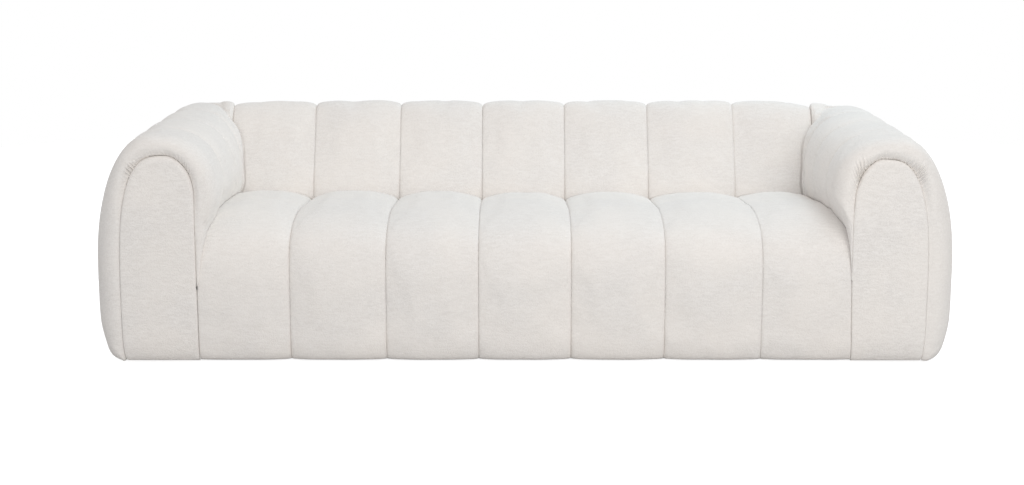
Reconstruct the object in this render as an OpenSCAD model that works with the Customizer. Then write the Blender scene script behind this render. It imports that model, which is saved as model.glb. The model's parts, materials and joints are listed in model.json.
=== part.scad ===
// Channel-tufted sofa with padded arms as thick as its back.
// X runs along the width, -Y is the front and Z is up. The origin is on the floor, under the middle.

/* [Overall] */
// Width over both arms
overall_w = 2390; // [2250:10:2600]
// Depth from the front of the seat to the outside of the back
overall_d = 915; // [860:5:1000]
// Height of the back at the crown of its channels
back_h = 650; // [630:2:700]
// How much lower the crown of the arms is than that of the back
arm_drop = 1; // [0:1:30]
// Height of the seat at the crown of its channels
seat_h = 409; // [395:1:425]

/* [Arms and back] */
// Thickness of an arm at its fullest
arm_w = 285; // [265:1:320]
// Thickness of the back at its fullest
back_t = 285; // [260:1:310]
// How far an arm swells in over the seat
arm_bulge = 60; // [36:1:62]
// Share of the way from the seat's crown to the arm's at which an arm swells in most
arm_bulge_share = 0.254; // [0.19:0.002:0.38]
// Share of its height at which the outside of an arm or the back turns in to its crown
outer_share = 0.385; // [0.3:0.005:0.58]
// How far the inside of the back leans from the seat to its bend
lean_s = 76; // [50:1:84]
// Share of the way from the seat to the back's crown at which its leaning inside starts to bend
lean_share = 0.547; // [0.47:0.001:0.66]
// How far the padding is drawn in at the foot
foot_tuck = 38; // [20:1:44]
// Height at which the padding starts to draw in at the foot
foot_tuck_z = 150; // [90:1:170]

/* [Seat] */
// How far the front of the seat is drawn in at the foot
front_tuck = 18; // [8:1:30]
// Height at which the rounded front of the seat becomes upright
shoulder_z = 230; // [215:1:245]
// Distance over which the top of the seat rolls over to its front
shoulder_l = 300; // [240:5:380]
// How much lower the seat is where it meets the back
seat_dip = 24; // [4:1:30]

/* [Padding] */
// Thickness of the padding on the arms
arm_pad_t = 68; // [66:1:76]
// Thickness of the padding on the back
back_pad_t = 56; // [48:1:62]
// Thickness of the padding on top of the seat
seat_pad_t = 46; // [38:1:52]
// Thickness of the padding on the front of the seat
front_pad_t = 40; // [34:1:46]
// How far the seams of the seat are drawn in below the crown of its channels
seat_draw = 20; // [10:1:24]
// How far the seams of the back are drawn in below the crown of its channels
back_draw = 12; // [6:1:20]
// How far the seams of the arms are drawn in below the crown of their channels
arm_draw = 8; // [4:1:14]
// How far the cover wraps under the frame
wrap_l = 70; // [62:1:74]

/* [Front panels] */
// How far the arched top of a front panel lies below the crown of the arm
panel_drop = 61; // [53:1:79]
// Distance of a front panel from the inside plane of the arm
panel_in = 3; // [2:0.5:6]
// Width of a front panel
panel_w = 204; // [190:1:214]
// Depth of a front panel, to its board
panel_t = 32; // [28:1:36]
// Thickness of a front panel's board
panel_board_t = 6; // [4:0.5:8]

/* [Frame] */
// Thickness of the plywood boards, formers and ribs
board_t = 18; // [15:0.5:21]
// Width of the frame's rails, stretchers and posts
rail_w = 45; // [40:1:48]
// Height of the rails at the foot of the frame
foot_rail_h = 70; // [60:1:80]
// Height of the underside of the frame over the floor
frame_z = 20; // [18:1:26]
// Height of the top of the seat rails
deck_z = 240; // [228:1:246]
// Thickness of the bent hardboard skins and of the webbing
skin_t = 3; // [2:0.5:4]

/* [Springs and deck] */
// Diameter of the spring wire
wire_d = 4; // [3:0.1:4.6]
// Half width of a zigzag spring
spring_amp = 20; // [14:1:24]
// Length of one wave of a zigzag spring
spring_wave = 48; // [40:1:60]
// Thickness of the metal of a spring clip
clip_t = 2; // [1.5:0.1:3]
// Thickness of the felt over the springs
felt_t = 4; // [3:0.5:6]
// Width of one strap of the webbing
strap_w = 50; // [40:1:60]

/* [Hardware] */
// Radius of a frame bolt's shank
bolt_r = 4; // [3:0.1:4.5]
// Radius of a frame bolt's head
bolt_head_r = 9; // [7.5:0.1:11]
// Height of a frame bolt's head
bolt_head_h = 5; // [3:0.1:7]
// Radius of a glide
glide_r = 18; // [15:0.5:19]
// Radius of a glide screw's shank
screw_r = 2; // [1.5:0.1:2.5]
// Radius of a glide screw's head
screw_head_r = 4; // [3.2:0.1:5]

/* [Hidden] */

cover_color = [0.90, 0.88, 0.85];
foam_color = [0.93, 0.87, 0.66];
felt_color = [0.55, 0.55, 0.56];
ply_color = [0.80, 0.66, 0.46];
rail_color = [0.86, 0.74, 0.54];
skin_color = [0.52, 0.38, 0.26];
steel_color = [0.62, 0.63, 0.66];
web_color = [0.25, 0.25, 0.27];
cloth_color = [0.12, 0.12, 0.13];

// Counts of what repeats
channel_n = 7;
arm_bays = 3;
rib_n = 6;
spring_n = 12;
straps_per_channel = 2;

// Clearances
clr = 0.3;
seam_gap = 0.2;
bore_clr = 0.3;
pilot_clr = 0.05;
cut_over = 1;

// Main planes
arm_h = back_h - arm_drop;
half_in = overall_w / 2 - arm_w;
front_y = -overall_d / 2;
back_y = overall_d / 2 - back_t;
pitch = 2 * half_in / channel_n;
bay_l = (back_y - front_y) / arm_bays;
foot_z = 8;

// Seat line
seat_back_z = seat_h - seat_dip;
seat_back_end = back_y + back_pad_t - clr;
seat_lead = 20;
shoulder_top_share = 0.66;
shoulder_front_share = 0.17;

// Crown of the arms and of the back
arm_bulge_z = seat_h + arm_bulge_share * (arm_h - seat_h);
lean_z = seat_back_z + lean_share * (back_h - seat_back_z);
outer_z = outer_share * back_h;
arm_ridge_share = 0.40;
back_ridge_share = 0.60;
arm_ridge = arm_ridge_share * arm_w;
back_ridge = back_ridge_share * back_t;
rise_share = 0.62;
turn_share = 0.70;
back_rise_share = 0.30;
back_turn_share = 0.50;
underside_s = 28;
underside_drop = 7;
side_drop = seat_draw;
overhang_z = 80;
arm_low_rise = 15;
arm_low_z = deck_z + arm_low_rise;

// Front roll of an arm
roll_l = 62;
panel_turn_share = 0.55;
roll_seam = 14;
panel_ridge_share = 0.45;
panel_foot_in = 8;
panel_inner_share = 0.748;
panel_outer_share = 0.68;
panel_h = arm_h - panel_drop;
panel_inner_z = panel_inner_share * panel_h;
panel_outer_z = panel_outer_share * panel_h;
panel_crown_in = 1;
panel_flange = 8;
panel_crown_share = 0.5;

// Seat deck
clip_z = deck_z + clr + wire_d + clr;
felt_z = clip_z + clip_t + clr;
foam_z = felt_z + felt_t + clr;
board_top = foam_z - clr;
pad_shoulder_z = max(shoulder_z, foam_z + cut_over);
board_front = front_y + front_pad_t + clr;
roll_back = panel_t + clr + panel_board_t + clr;
arm_front_y = front_y + roll_back + 2 * clr;
board_back = board_front + board_t;
rear_front = seat_back_end - board_t;
stretcher_share = 0.33;
stretcher_x = stretcher_share * half_in;
side_in = half_in - clr - board_t;

// Frame lines inside the padding
arm_core = arm_pad_t + clr;
arm_frame = arm_core + skin_t + clr;
back_core = back_pad_t + clr;
back_frame = back_core + skin_t + clr;
crown_y = front_y + shoulder_l;
corner_former_in = back_frame + board_t;
rib_span = (2 * half_in - 2 * clr - board_t) / (rib_n - 1);
mid_former_step = 20;
mid_former_y = (front_y + back_y) / 2 + mid_former_step;
rear_former_y = back_y - clr - board_t;
outer_rail_y = overall_d / 2 - back_frame - rail_w;
corner_former_y = outer_rail_y - clr - board_t;
mid_rail_h = 40;
top_rail_h = 40;
top_rail_half = 20;
crown_points = 8;

// Bolts
bolt_z = frame_z + foot_rail_h / 2;
bolt_end_in = 4;
bolt_l = board_t + rail_w - bolt_end_in;
nut_wall = 1.5;
nut_barrel_r = bolt_r + nut_wall;
nut_rim = 7;
nut_flange_r = bolt_r + nut_rim;
nut_flange_t = 1.6;
nut_barrel_l = 14;
arm_bolt_in = 150;
arm_bolt_off = 27;
arm_bolt_y = [
    front_y + arm_bolt_in, mid_former_y + board_t + arm_bolt_off, rear_former_y - arm_bolt_off
];
back_bolt_shares = [-0.5, -0.09, 0.09, 0.5];
back_bolt_x = [for (share = back_bolt_shares) share * half_in];

// Glides
screw_head_h = 3;
screw_l = 30;
recess_rim = 1.5;
recess_r = screw_head_r + recess_rim;
recess_h = 9;
glide_front_in = 95;
glide_y_front = front_y + glide_front_in;
glide_front_step = 20;
corner_glide_share = 0.52;
corner_glide_x = half_in + corner_glide_share * arm_w;
rear_glide_in = 14;
rear_glide_y = outer_rail_y + rear_glide_in;
cloth_t = 1.2;
arm_glide_s = arm_w - arm_frame - rail_w / 2;
glide_places = [
    for (side = [-1, 1]) each [
        [side * (half_in + arm_glide_s), glide_y_front + glide_front_step],
        [side * stretcher_x, glide_y_front],
        [side * stretcher_x, rear_glide_y],
        [side * corner_glide_x, rear_glide_y]
    ]
];

// Curves

function bezier(a, b, c, d, n) =
    [for (i = [0:n]) let (t = i / n, u = 1 - t)
        u * u * u * a + 3 * u * u * t * b + 3 * u * t * t * c + t * t * t * d];

// Part of an ellipse from the angle a0 to a1, leaving out its first point
function ellipse_arc(centre, rx, rz, a0, a1, n) =
    [for (i = [1:n]) let (w = a0 + (a1 - a0) * i / n) centre + [rx * cos(w), rz * sin(w)]];

// Drawing in across a channel, from 1 at its seams to 0 at its crown
sag_power = 2.6;
function sag(u) = 1 - sqrt(1 - pow(abs(2 * u - 1), sag_power));

// Outline of the lower outside, from the crown's end down and under the frame
function foot_line(s_out, s_end, tuck, tuck_z, end_z) = concat(
    [[s_out, tuck_z]],
    ellipse_arc([s_out - tuck, tuck_z], tuck, tuck_z - end_z, 0, -90, 3),
    [[s_end, end_z]]
);

// Seat section, from under the back to under the front: its top inset by dt, its front by df
function seat_line(dt, df, tuck, end_z, low_z = shoulder_z) = let (
    top = [front_y + shoulder_l, seat_h - dt],
    low = [front_y + df, low_z],
    fall = top[1] - low[1]
) concat(
    [[seat_back_end, seat_back_z - dt], [back_y - seat_lead, seat_back_z - dt]],
    bezier(top, top - [shoulder_top_share * shoulder_l, 0],
        low + [0, (1 - shoulder_front_share) * fall], low, 5),
    [[low[0], foot_tuck_z]],
    [for (w = [30, 60, 90])
        [low[0] + tuck * (1 - cos(w)), foot_tuck_z - (foot_tuck_z - end_z) * sin(w)]],
    [[front_y + wrap_l, end_z]]
);

function backwards(list) = [for (i = [len(list) - 1:-1:0]) list[i]];

// Height of the seat's crown at a depth y
seat_profile = backwards([for (i = [0:7]) seat_line(0, 0, 0, 0)[i]]);
function seat_z(y) = lookup(y, seat_profile);

// Arm section at a depth y, inset by d, from the inside foot over the crown to the outside foot
function arm_line(d, tuck, end_z, y, ridge = arm_ridge, crown = arm_h) = let (
    low = [d - arm_bulge, arm_bulge_z],
    top = [ridge, crown - d],
    rise = top - low,
    z = seat_z(y),
    over = min(1, max(0, (z - arm_low_z - overhang_z) / (seat_back_z - arm_low_z - overhang_z)))
) concat(
    [[d, arm_low_z], [d, z - side_drop], [d - underside_s * over, z - underside_drop]],
    bezier(low, low + [0, rise_share * rise[1]], top - [turn_share * rise[0], 0], top, 4),
    ellipse_arc([ridge, outer_z], arm_w - d - ridge, top[1] - outer_z, 90, 0, 4),
    foot_line(arm_w - d, arm_w - wrap_l, tuck, foot_tuck_z, end_z)
);

// Front panel outline, inset by d, with as many points as an arm section
function panel_line(d, end_z, y) = let (
    low = [panel_in + d, panel_inner_z],
    top = [panel_in + panel_ridge_share * panel_w, panel_h - d],
    out_s = panel_in + panel_w - d,
    rise = top - low,
    z = seat_z(y)
) concat(
    [[low[0], arm_low_z], [low[0], z - side_drop], [low[0], z - underside_drop]],
    bezier(low, low + [0, rise_share * rise[1]], top - [panel_turn_share * rise[0], 0], top, 4),
    ellipse_arc([top[0], panel_outer_z], out_s - top[0], top[1] - panel_outer_z, 90, 0, 4),
    foot_line(out_s, arm_w - wrap_l, panel_foot_in, foot_tuck_z, end_z)
);

// Back section, inset by d, from the seat over the crown to the outside foot
function back_line(d, tuck, end_z, drop = 0) = let (
    low_z = seat_back_z + clr - drop,
    bend = [lean_s + d, lean_z],
    top = [back_ridge, back_h - d],
    way = [lean_s, lean_z - seat_back_z],
    rise = top - bend
) concat(
    [[d, low_z]],
    bezier(bend, bend + way * (back_rise_share * rise[1] / way[1]),
        top - [back_turn_share * rise[0], 0], top, 3),
    ellipse_arc([back_ridge, outer_z], back_t - d - back_ridge, top[1] - outer_z, 90, 0, 4),
    foot_line(back_t - d, back_t - wrap_l, tuck, foot_tuck_z, end_z)
);

// How far the crown of the back's inside lies behind its foot, at a height z
back_profile = [for (i = [0:4]) let (p = back_line(0, 0, 0)[i]) [p[1], p[0]]];
function back_face(z) = lookup(z, back_profile);

// Solids between an outer and an inner skin

// Each ring holds n points of the outer skin and then the n points of the inner skin backwards
module skinned(rings, n, flip = false) {
    m = 2 * n;
    last = (len(rings) - 1) * m;
    sides = [for (j = [0:len(rings) - 2], i = [0:m - 1])
        let (a = j * m + i, b = j * m + (i + 1) % m)
        each [[a, b, b + m], [a, b + m, a + m]]];
    caps = [for (i = [0:n - 2]) let (p = i, q = i + 1, r = m - 2 - i, s = m - 1 - i)
        each [[p, s, r], [p, r, q], [last + p, last + q, last + r], [last + p, last + r, last + s]]];
    faces = concat(sides, caps);
    polyhedron(
        points = [for (r = rings) each r],
        faces = flip ? [for (f = faces) [f[0], f[2], f[1]]] : faces,
        convexity = 6
    );
}

module outline_plate(points, thickness) {
    linear_extrude(height = thickness) polygon(points);
}

// Stands a plate drawn in [y, z] along X, from x0
module along_x(x0) {
    translate([x0, 0, 0]) rotate([90, 0, 90]) children();
}

// Stands a plate drawn in [x, z] along Y, from y0
module along_y(y0, thickness) {
    translate([0, y0 + thickness, 0]) rotate([90, 0, 0]) children();
}

module block(x0, x1, y0, y1, z0, z1) {
    translate([x0, y0, z0]) cube([x1 - x0, y1 - y0, z1 - z0]);
}

module mirror_if_left(left) {
    if (left) mirror([1, 0, 0]) children();
    else children();
}

// Seat and back channels

channel_shares = [0, 0.08, 0.35, 0.65, 0.92, 1];

module seat_channel(i) {
    x0 = -half_in + i * pitch + seam_gap;
    inner = backwards(seat_line(seat_pad_t, front_pad_t, 0, frame_z - clr, pad_shoulder_z));
    rings = [for (u = channel_shares)
        let (d = seat_draw * sag(u), x = x0 + u * (pitch - 2 * seam_gap))
        [for (p = concat(seat_line(d, d, front_tuck, foot_z), inner)) [x, p[0], p[1]]]];
    color(cover_color) skinned(rings, len(inner));
}

module back_channel(i) {
    x0 = -half_in + i * pitch + seam_gap;
    inner = backwards(back_line(back_pad_t, 0, frame_z - clr));
    rings = [for (u = channel_shares)
        let (d = back_draw * sag(u), x = x0 + u * (pitch - 2 * seam_gap))
        [for (p = concat(back_line(d, foot_tuck, foot_z, seat_draw * sag(u)), inner))
            [x, back_y + p[0], p[1]]]];
    color(cover_color) skinned(rings, len(inner), true);
}

// Arm channels

bay_shares = [0, 0.1, 0.5, 0.9, 1];
corner_shares = [0, 0.12, 0.5, 0.88, 1];
roll_span = roll_l - roll_seam;
roll_shares = [0, 0.1, 0.25];
roll_rest_shares = [0.9, 1];
roll_ys = concat([for (share = roll_shares) roll_seam + share * roll_span],
    [roll_back, roll_back + clr, roll_l]);
corner_least = 3;

// One ring of an arm's padding at a depth y
function arm_ring(d, y) = [for (p = concat(arm_line(d, foot_tuck, foot_z, y),
    backwards(arm_line(arm_pad_t, 0, frame_z - clr, y)))) [half_in + p[0], y, p[1]]];

// Share of the way from the panel's outline to the full section, at a share v of the roll
function roll_out(v) = sqrt(1 - pow(1 - v, 2));

// The roll's ring at a distance t behind the front: the cover turns in to the panel's outline,
// and the padding ends behind the panel
module arm_front() {
    y_seam = front_y + bay_l - seam_gap;
    roll = [for (t = roll_ys) let (
        f = roll_out((t - roll_seam) / roll_span),
        y = front_y + t,
        full = arm_line(0, foot_tuck, foot_z, y),
        edge = panel_line(0, foot_z, y),
        pad = t > roll_back ? arm_line(arm_pad_t, 0, frame_z - clr, y)
            : panel_line(panel_flange - clr, frame_z - clr, y)
    ) [for (p = concat(edge * (1 - f) + full * f, backwards(pad))) [half_in + p[0], y, p[1]]]];
    rest = [for (u = roll_rest_shares)
        arm_ring(arm_draw * sag(u), front_y + roll_l + u * (y_seam - front_y - roll_l))];
    color(cover_color) skinned(concat(roll, rest), len(roll[0]) / 2);
}

module arm_bay(k) {
    y0 = front_y + k * bay_l + seam_gap;
    rings = [for (u = bay_shares) arm_ring(arm_draw * sag(u), y0 + u * (bay_l - 2 * seam_gap))];
    color(cover_color) skinned(rings, len(rings[0]) / 2);
}

// Where a corner channel of an arm ends: on the back's inside, or on the mitre behind it
function arm_end(p) = max(corner_least, p[0] * back_t / arm_w, back_face(p[1]) - clr) - seam_gap;

module arm_corner() {
    pad = arm_frame - clr;
    rings = [for (u = corner_shares) let (
        d = arm_draw * sag(u) * (1 + max(0, 2 * u - 1)),
        ridge = arm_ridge + u * (back_ridge - arm_ridge),
        crown = arm_h + u * (back_h - arm_h),
        line = concat(arm_line(d, foot_tuck, foot_z, back_y, ridge, crown),
            backwards(arm_line(pad, 0, frame_z - clr, back_y, ridge, crown)))
    ) [for (p = line) [half_in + p[0], back_y + seam_gap + u * (arm_end(p) - seam_gap), p[1]]]];
    color(cover_color) skinned(rings, len(rings[0]) / 2);
}

module back_corner() {
    pad = back_frame - clr;
    inner = backwards(back_line(pad, 0, frame_z - clr));
    rings = [for (u = corner_shares) let (d = back_draw * sag(u))
        [for (p = concat(back_line(d, foot_tuck, foot_z), inner))
            [half_in + seam_gap + u * (max(corner_least, p[0] * arm_w / back_t) - 2 * seam_gap),
                back_y + p[0], p[1]]]];
    color(cover_color) skinned(rings, len(inner), true);
}

// Front panels

// The panel's outline as one closed loop, inset by d, from its foot at z0
function panel_loop(d, z0) = let (
    top = [panel_in + panel_ridge_share * panel_w, panel_h - d],
    low = [panel_in + d, panel_inner_z],
    out_s = panel_in + panel_w - d,
    rise = top - low
) concat(
    [[low[0], z0]],
    bezier(low, low + [0, rise_share * rise[1]], top - [panel_turn_share * rise[0], 0], top, 6),
    ellipse_arc([top[0], panel_outer_z], out_s - top[0], top[1] - panel_outer_z, 90, 0, 6),
    [[out_s, foot_tuck_z], [out_s - panel_foot_in, z0]]
);

panel_steps = [
    [panel_flange, panel_t], [panel_flange, roll_seam - clr], [clr, roll_seam - 2 * clr],
    [panel_flange / 2, panel_flange / 2], [2 * panel_flange, panel_crown_in]
];

module front_panel() {
    loops = [for (k = panel_steps) panel_loop(k[0], foot_z + k[0] / 2)];
    m = len(loops[0]);
    last = len(loops) - 1;
    centre = [panel_in + panel_crown_share * panel_w, panel_h / 2];
    points = concat(
        [for (j = [0:last], p = loops[j]) [half_in + p[0], front_y + panel_steps[j][1], p[1]]],
        [[half_in + centre[0], front_y + panel_t, centre[1]], [half_in + centre[0], front_y, centre[1]]]
    );
    back_mid = (last + 1) * m;
    faces = concat(
        [for (j = [0:last - 1], i = [0:m - 1]) let (a = j * m + i, b = j * m + (i + 1) % m)
            each [[a, b + m, b], [a, a + m, b + m]]],
        [for (i = [0:m - 1]) each [
            [i, (i + 1) % m, back_mid],
            [last * m + (i + 1) % m, last * m + i, back_mid + 1]]]
    );
    color(cover_color) polyhedron(points = points, faces = faces, convexity = 4);
}

module panel_boards() {
    color(skin_color) for (left = [true, false]) mirror_if_left(left)
        translate([half_in, 0, 0]) along_y(front_y + panel_t + clr, panel_board_t)
            outline_plate(panel_loop(2 * panel_flange, frame_z), panel_board_t);
}

// Seat deck

module seat_foam() {
    top = seat_line(seat_pad_t + clr, front_pad_t + clr, 0, frame_z, pad_shoulder_z);
    // The points from under the back to the upright front, and then the underside
    outline = concat([for (i = [0:7]) top[i]],
        [[front_y + front_pad_t + clr, foam_z], [seat_back_end, foam_z]]);
    color(foam_color) along_x(-half_in + clr) outline_plate(outline, 2 * (half_in - clr));
}

module spring_felt() {
    color(felt_color) block(-side_in + clr, side_in - clr, board_back + clr, rear_front - clr,
        felt_z, felt_z + felt_t);
}

spring_inset = 8;
spring_y0 = board_back + clr + spring_inset;
spring_y1 = rear_front - clr - spring_inset;
spring_gap = 2 * side_in / spring_n;
wave_steps = 8;
function spring_x(i) = -side_in + (i + 0.5) * spring_gap;

module zigzag_spring() {
    n = floor((spring_y1 - spring_y0) / spring_wave * wave_steps);
    path = [for (k = [0:n]) let (y = spring_y0 + (spring_y1 - spring_y0) * k / n,
        w = 360 * k / wave_steps) [spring_amp * sin(w), y, w]];
    // The wire's side at half its width, square to the wave
    side = function (p, h) let (
        slope = spring_amp * cos(p[2]) * 2 * PI / spring_wave,
        l = sqrt(1 + slope * slope)
    ) [p[0] + h / l, p[1] - h * slope / l];
    outline_plate(concat([for (p = path) side(p, wire_d / 2)],
        backwards([for (p = path) side(p, -wire_d / 2)])), wire_d);
}

module seat_springs() {
    color(steel_color) for (i = [0:spring_n - 1])
        translate([spring_x(i), 0, deck_z + clr]) zigzag_spring();
}

clip_room = 2;
clip_half = spring_amp + wire_d + clip_room;
clip_l = 14;
clip_wall = 3;

module spring_clip() {
    difference() {
        block(-clip_half - clip_wall, clip_half + clip_wall, 0, clip_l, deck_z + clr / 2, clip_z + clip_t);
        block(-clip_half, clip_half, -cut_over, clip_l + cut_over, deck_z - cut_over, clip_z);
    }
}

module spring_clips() {
    color(steel_color) for (i = [0:spring_n - 1], y = [spring_y0, spring_y1 - clip_l])
        translate([spring_x(i), y, 0]) spring_clip();
}

tie_shares = [0.35, 0.68];

module tie_wires() {
    r = wire_d / 2;
    reach = side_in - spring_gap / 2 + spring_amp;
    color(steel_color) for (share = tie_shares)
        translate([-reach, spring_y0 + share * (spring_y1 - spring_y0), deck_z - r])
            rotate([0, 90, 0]) cylinder(r = r, h = 2 * reach, $fn = 24);
}

// Seat box

module bolt_bore_x(y) {
    translate([0, y, bolt_z]) rotate([0, 90, 0])
        translate([0, 0, side_in - cut_over])
            cylinder(r = bolt_r + bore_clr, h = board_t + 2 * cut_over, $fn = 40);
}

module front_board() {
    color(ply_color) block(-half_in + clr, half_in - clr, board_front, board_back, frame_z, board_top);
}

module rear_board() {
    color(ply_color) difference() {
        block(-half_in + clr, half_in - clr, rear_front, seat_back_end, frame_z, board_top);
        for (x = back_bolt_x) translate([x, rear_front - cut_over, bolt_z]) rotate([-90, 0, 0])
            cylinder(r = bolt_r + bore_clr, h = board_t + 2 * cut_over, $fn = 40);
    }
}

module side_board() {
    color(ply_color) difference() {
        block(side_in, half_in - clr, board_back + clr, rear_front - clr, frame_z, board_top);
        for (y = arm_bolt_y) bolt_bore_x(y);
    }
}

rail_z0 = deck_z - rail_w;

module seat_rail(y0) {
    color(rail_color) block(-side_in + clr, side_in - clr, y0, y0 + rail_w, rail_z0, deck_z);
}

module cross_stretchers() {
    color(rail_color) difference() {
        for (side = [-1, 1])
            block(side * stretcher_x - rail_w / 2, side * stretcher_x + rail_w / 2,
                board_back + clr, rear_front - clr, frame_z, frame_z + rail_w);
        glide_pilots();
    }
}

module seat_posts() {
    color(rail_color) for (side = [-1, 1], y0 = [board_back + clr, rear_front - clr - rail_w])
        block(side * stretcher_x - rail_w / 2, side * stretcher_x + rail_w / 2,
            y0, y0 + rail_w, frame_z + rail_w + clr, rail_z0 - clr);
}

// Back frame

function rib_x(i) = -half_in + clr + i * rib_span;

module back_ribs() {
    line = back_line(back_frame, 0, frame_z);
    n = len(line);
    outline = concat([[back_core, frame_z], [back_core, seat_back_z]],
        [for (i = [0:n - 2]) line[i]]);
    color(ply_color) for (i = [0:rib_n - 1])
        along_x(rib_x(i)) outline_plate([for (p = outline) [back_y + p[0], p[1]]], board_t);
}

module between_ribs(y0, y1, z0, z1) {
    for (i = [0:rib_n - 2])
        block(rib_x(i) + board_t + clr, rib_x(i + 1) - clr, y0, y1, z0, z1);
}

// Height that clears a section's crown, from its point k, over the width of a top rail at s
function under_crown(line, k, s) = let (crown = [for (i = [k:k + crown_points]) line[i]])
    min(lookup(s - top_rail_half, crown), lookup(s + top_rail_half, crown)) - clr;

module back_top_rail() {
    half = top_rail_half;
    z1 = under_crown(back_line(back_frame, 0, frame_z), 1, back_ridge);
    color(rail_color) between_ribs(back_y + back_ridge - half, back_y + back_ridge + half,
        z1 - top_rail_h, z1);
}

module back_lower_rail() {
    y0 = back_y + back_core;
    color(rail_color) difference() {
        between_ribs(y0, y0 + rail_w, frame_z, frame_z + foot_rail_h);
        for (x = back_bolt_x) translate([x, y0 - cut_over, bolt_z]) rotate([-90, 0, 0])
            bolt_seat();
    }
}

// The bore for a bolt and the seat for its nut, along +Z from cut_over before a rail's face
module bolt_seat() {
    cylinder(r = bolt_r + bore_clr, h = rail_w + 2 * cut_over, $fn = 40);
    translate([0, 0, cut_over + rail_w - nut_barrel_l - clr])
        cylinder(r = nut_barrel_r + bore_clr, h = nut_barrel_l + clr + cut_over, $fn = 40);
}

module back_outer_rail() {
    reach = half_in + arm_w - arm_frame;
    color(rail_color) difference() {
        union() {
            between_ribs(outer_rail_y, outer_rail_y + rail_w, frame_z, frame_z + foot_rail_h);
            for (left = [true, false]) mirror_if_left(left)
                block(half_in + clr, reach, outer_rail_y, outer_rail_y + rail_w,
                    frame_z, frame_z + foot_rail_h);
        }
        glide_pilots();
    }
}

module back_webbing() {
    z0 = seat_back_z + clr + skin_t;
    gap = pitch / straps_per_channel;
    full = lean_z - seat_back_z - clr;
    // A point on the lean, d behind its crown
    at = function (d, z) [back_y + d + lean_s * (z - seat_back_z - clr) / full, z];
    outline = [at(back_core, z0), at(back_core, lean_z),
        at(back_core + skin_t, lean_z), at(back_core + skin_t, z0)];
    color(web_color) for (i = [0:channel_n * straps_per_channel - 1])
        along_x(-half_in + (i + 0.5) * gap - strap_w / 2) outline_plate(outline, strap_w);
}

module back_skin() {
    outer = back_line(back_core, 0, frame_z);
    inner = back_line(back_core + skin_t, 0, frame_z);
    // From the bend of the back, over its crown, to its foot
    keep = [2:len(outer) - 2];
    outline = concat([for (i = keep) outer[i]], backwards([for (i = keep) inner[i]]));
    color(skin_color) along_x(-half_in + clr)
        outline_plate([for (p = outline) [back_y + p[0], p[1]]], 2 * (half_in - clr));
}

// Arm frames

module arm_former(y0) {
    line = arm_line(arm_frame, 0, frame_z, crown_y);
    outline = concat([[clr, frame_z], [clr, arm_low_z - clr], [arm_frame, arm_low_z - clr]],
        [for (i = [1:len(line) - 2]) line[i]]);
    translate([half_in, 0, 0]) along_y(y0, board_t) outline_plate(outline, board_t);
}

module arm_formers() {
    color(ply_color) for (y0 = [arm_front_y, mid_former_y, rear_former_y]) arm_former(y0);
}

arm_spans = [
    [arm_front_y + board_t + clr, mid_former_y - clr],
    [mid_former_y + board_t + clr, rear_former_y - clr],
    [rear_former_y + board_t + clr, corner_former_y - clr]
];

module arm_rails() {
    out_s = arm_w - arm_frame;
    top_z = under_crown(arm_line(arm_frame, 0, frame_z, crown_y), 3, arm_ridge);
    foot_top = frame_z + foot_rail_h;
    color(rail_color) translate([half_in, 0, 0]) difference() {
        union() {
            for (k = [0, 1]) {
                span = arm_spans[k];
                block(clr, clr + rail_w, span[0], span[1], frame_z, foot_top);
                block(clr, clr + rail_w, span[0], span[1], arm_low_z - clr - mid_rail_h, arm_low_z - clr);
                block(arm_ridge - top_rail_half, arm_ridge + top_rail_half, span[0], span[1],
                    top_z - top_rail_h, top_z);
            }
            for (span = arm_spans) block(out_s - rail_w, out_s, span[0], span[1], frame_z, foot_top);
        }
        for (y = arm_bolt_y) translate([clr - cut_over, y, bolt_z]) rotate([0, 90, 0]) bolt_seat();
        translate([-half_in, 0, 0]) glide_pilots();
    }
}

module arm_skin() {
    outer = arm_line(arm_core, 0, frame_z, crown_y);
    inner = arm_line(arm_core + skin_t, 0, frame_z, crown_y);
    last = len(outer) - 2;
    outline = concat([for (i = [0:last]) outer[i]], backwards([for (i = [0:last]) inner[i]]));
    l = back_y - clr - arm_front_y;
    color(skin_color) translate([half_in, 0, 0]) along_y(arm_front_y, l) outline_plate(outline, l);
}

module corner_formers() {
    line = arm_line(arm_frame, 0, frame_z, crown_y);
    top_z = arm_h - arm_frame;
    outline = concat([[corner_former_in, frame_z], [corner_former_in, top_z], [arm_ridge, top_z]],
        [for (i = [8:len(line) - 2]) line[i]]);
    color(ply_color) for (left = [true, false]) mirror_if_left(left)
        translate([half_in, 0, 0]) along_y(corner_former_y, board_t) outline_plate(outline, board_t);
}

// Fasteners and feet

// A bolt along +Z: its head lies below z = 0
module frame_bolt() {
    translate([0, 0, -bolt_head_h]) cylinder(r = bolt_head_r, h = bolt_head_h, $fn = 40);
    cylinder(r = bolt_r, h = bolt_l, $fn = 40);
}

// A flanged nut whose flange lies on the far face of a rail, at z = 0, with its barrel towards -Z
module flanged_nut() {
    difference() {
        union() {
            cylinder(r = nut_flange_r, h = nut_flange_t, $fn = 40);
            translate([0, 0, -nut_barrel_l]) cylinder(r = nut_barrel_r, h = nut_barrel_l, $fn = 40);
        }
        translate([0, 0, -nut_barrel_l - cut_over])
            cylinder(r = bolt_r + pilot_clr, h = nut_barrel_l + nut_flange_t + 2 * cut_over, $fn = 40);
    }
}

// Places its children along each frame bolt: x0 from a side board, y0 from the rear board
module at_bolts(x0, y0) {
    for (left = [true, false], y = arm_bolt_y) mirror_if_left(left)
        translate([x0, y, bolt_z]) rotate([0, 90, 0]) children();
    for (x = back_bolt_x) translate([x, y0, bolt_z]) rotate([-90, 0, 0]) children();
}

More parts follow.
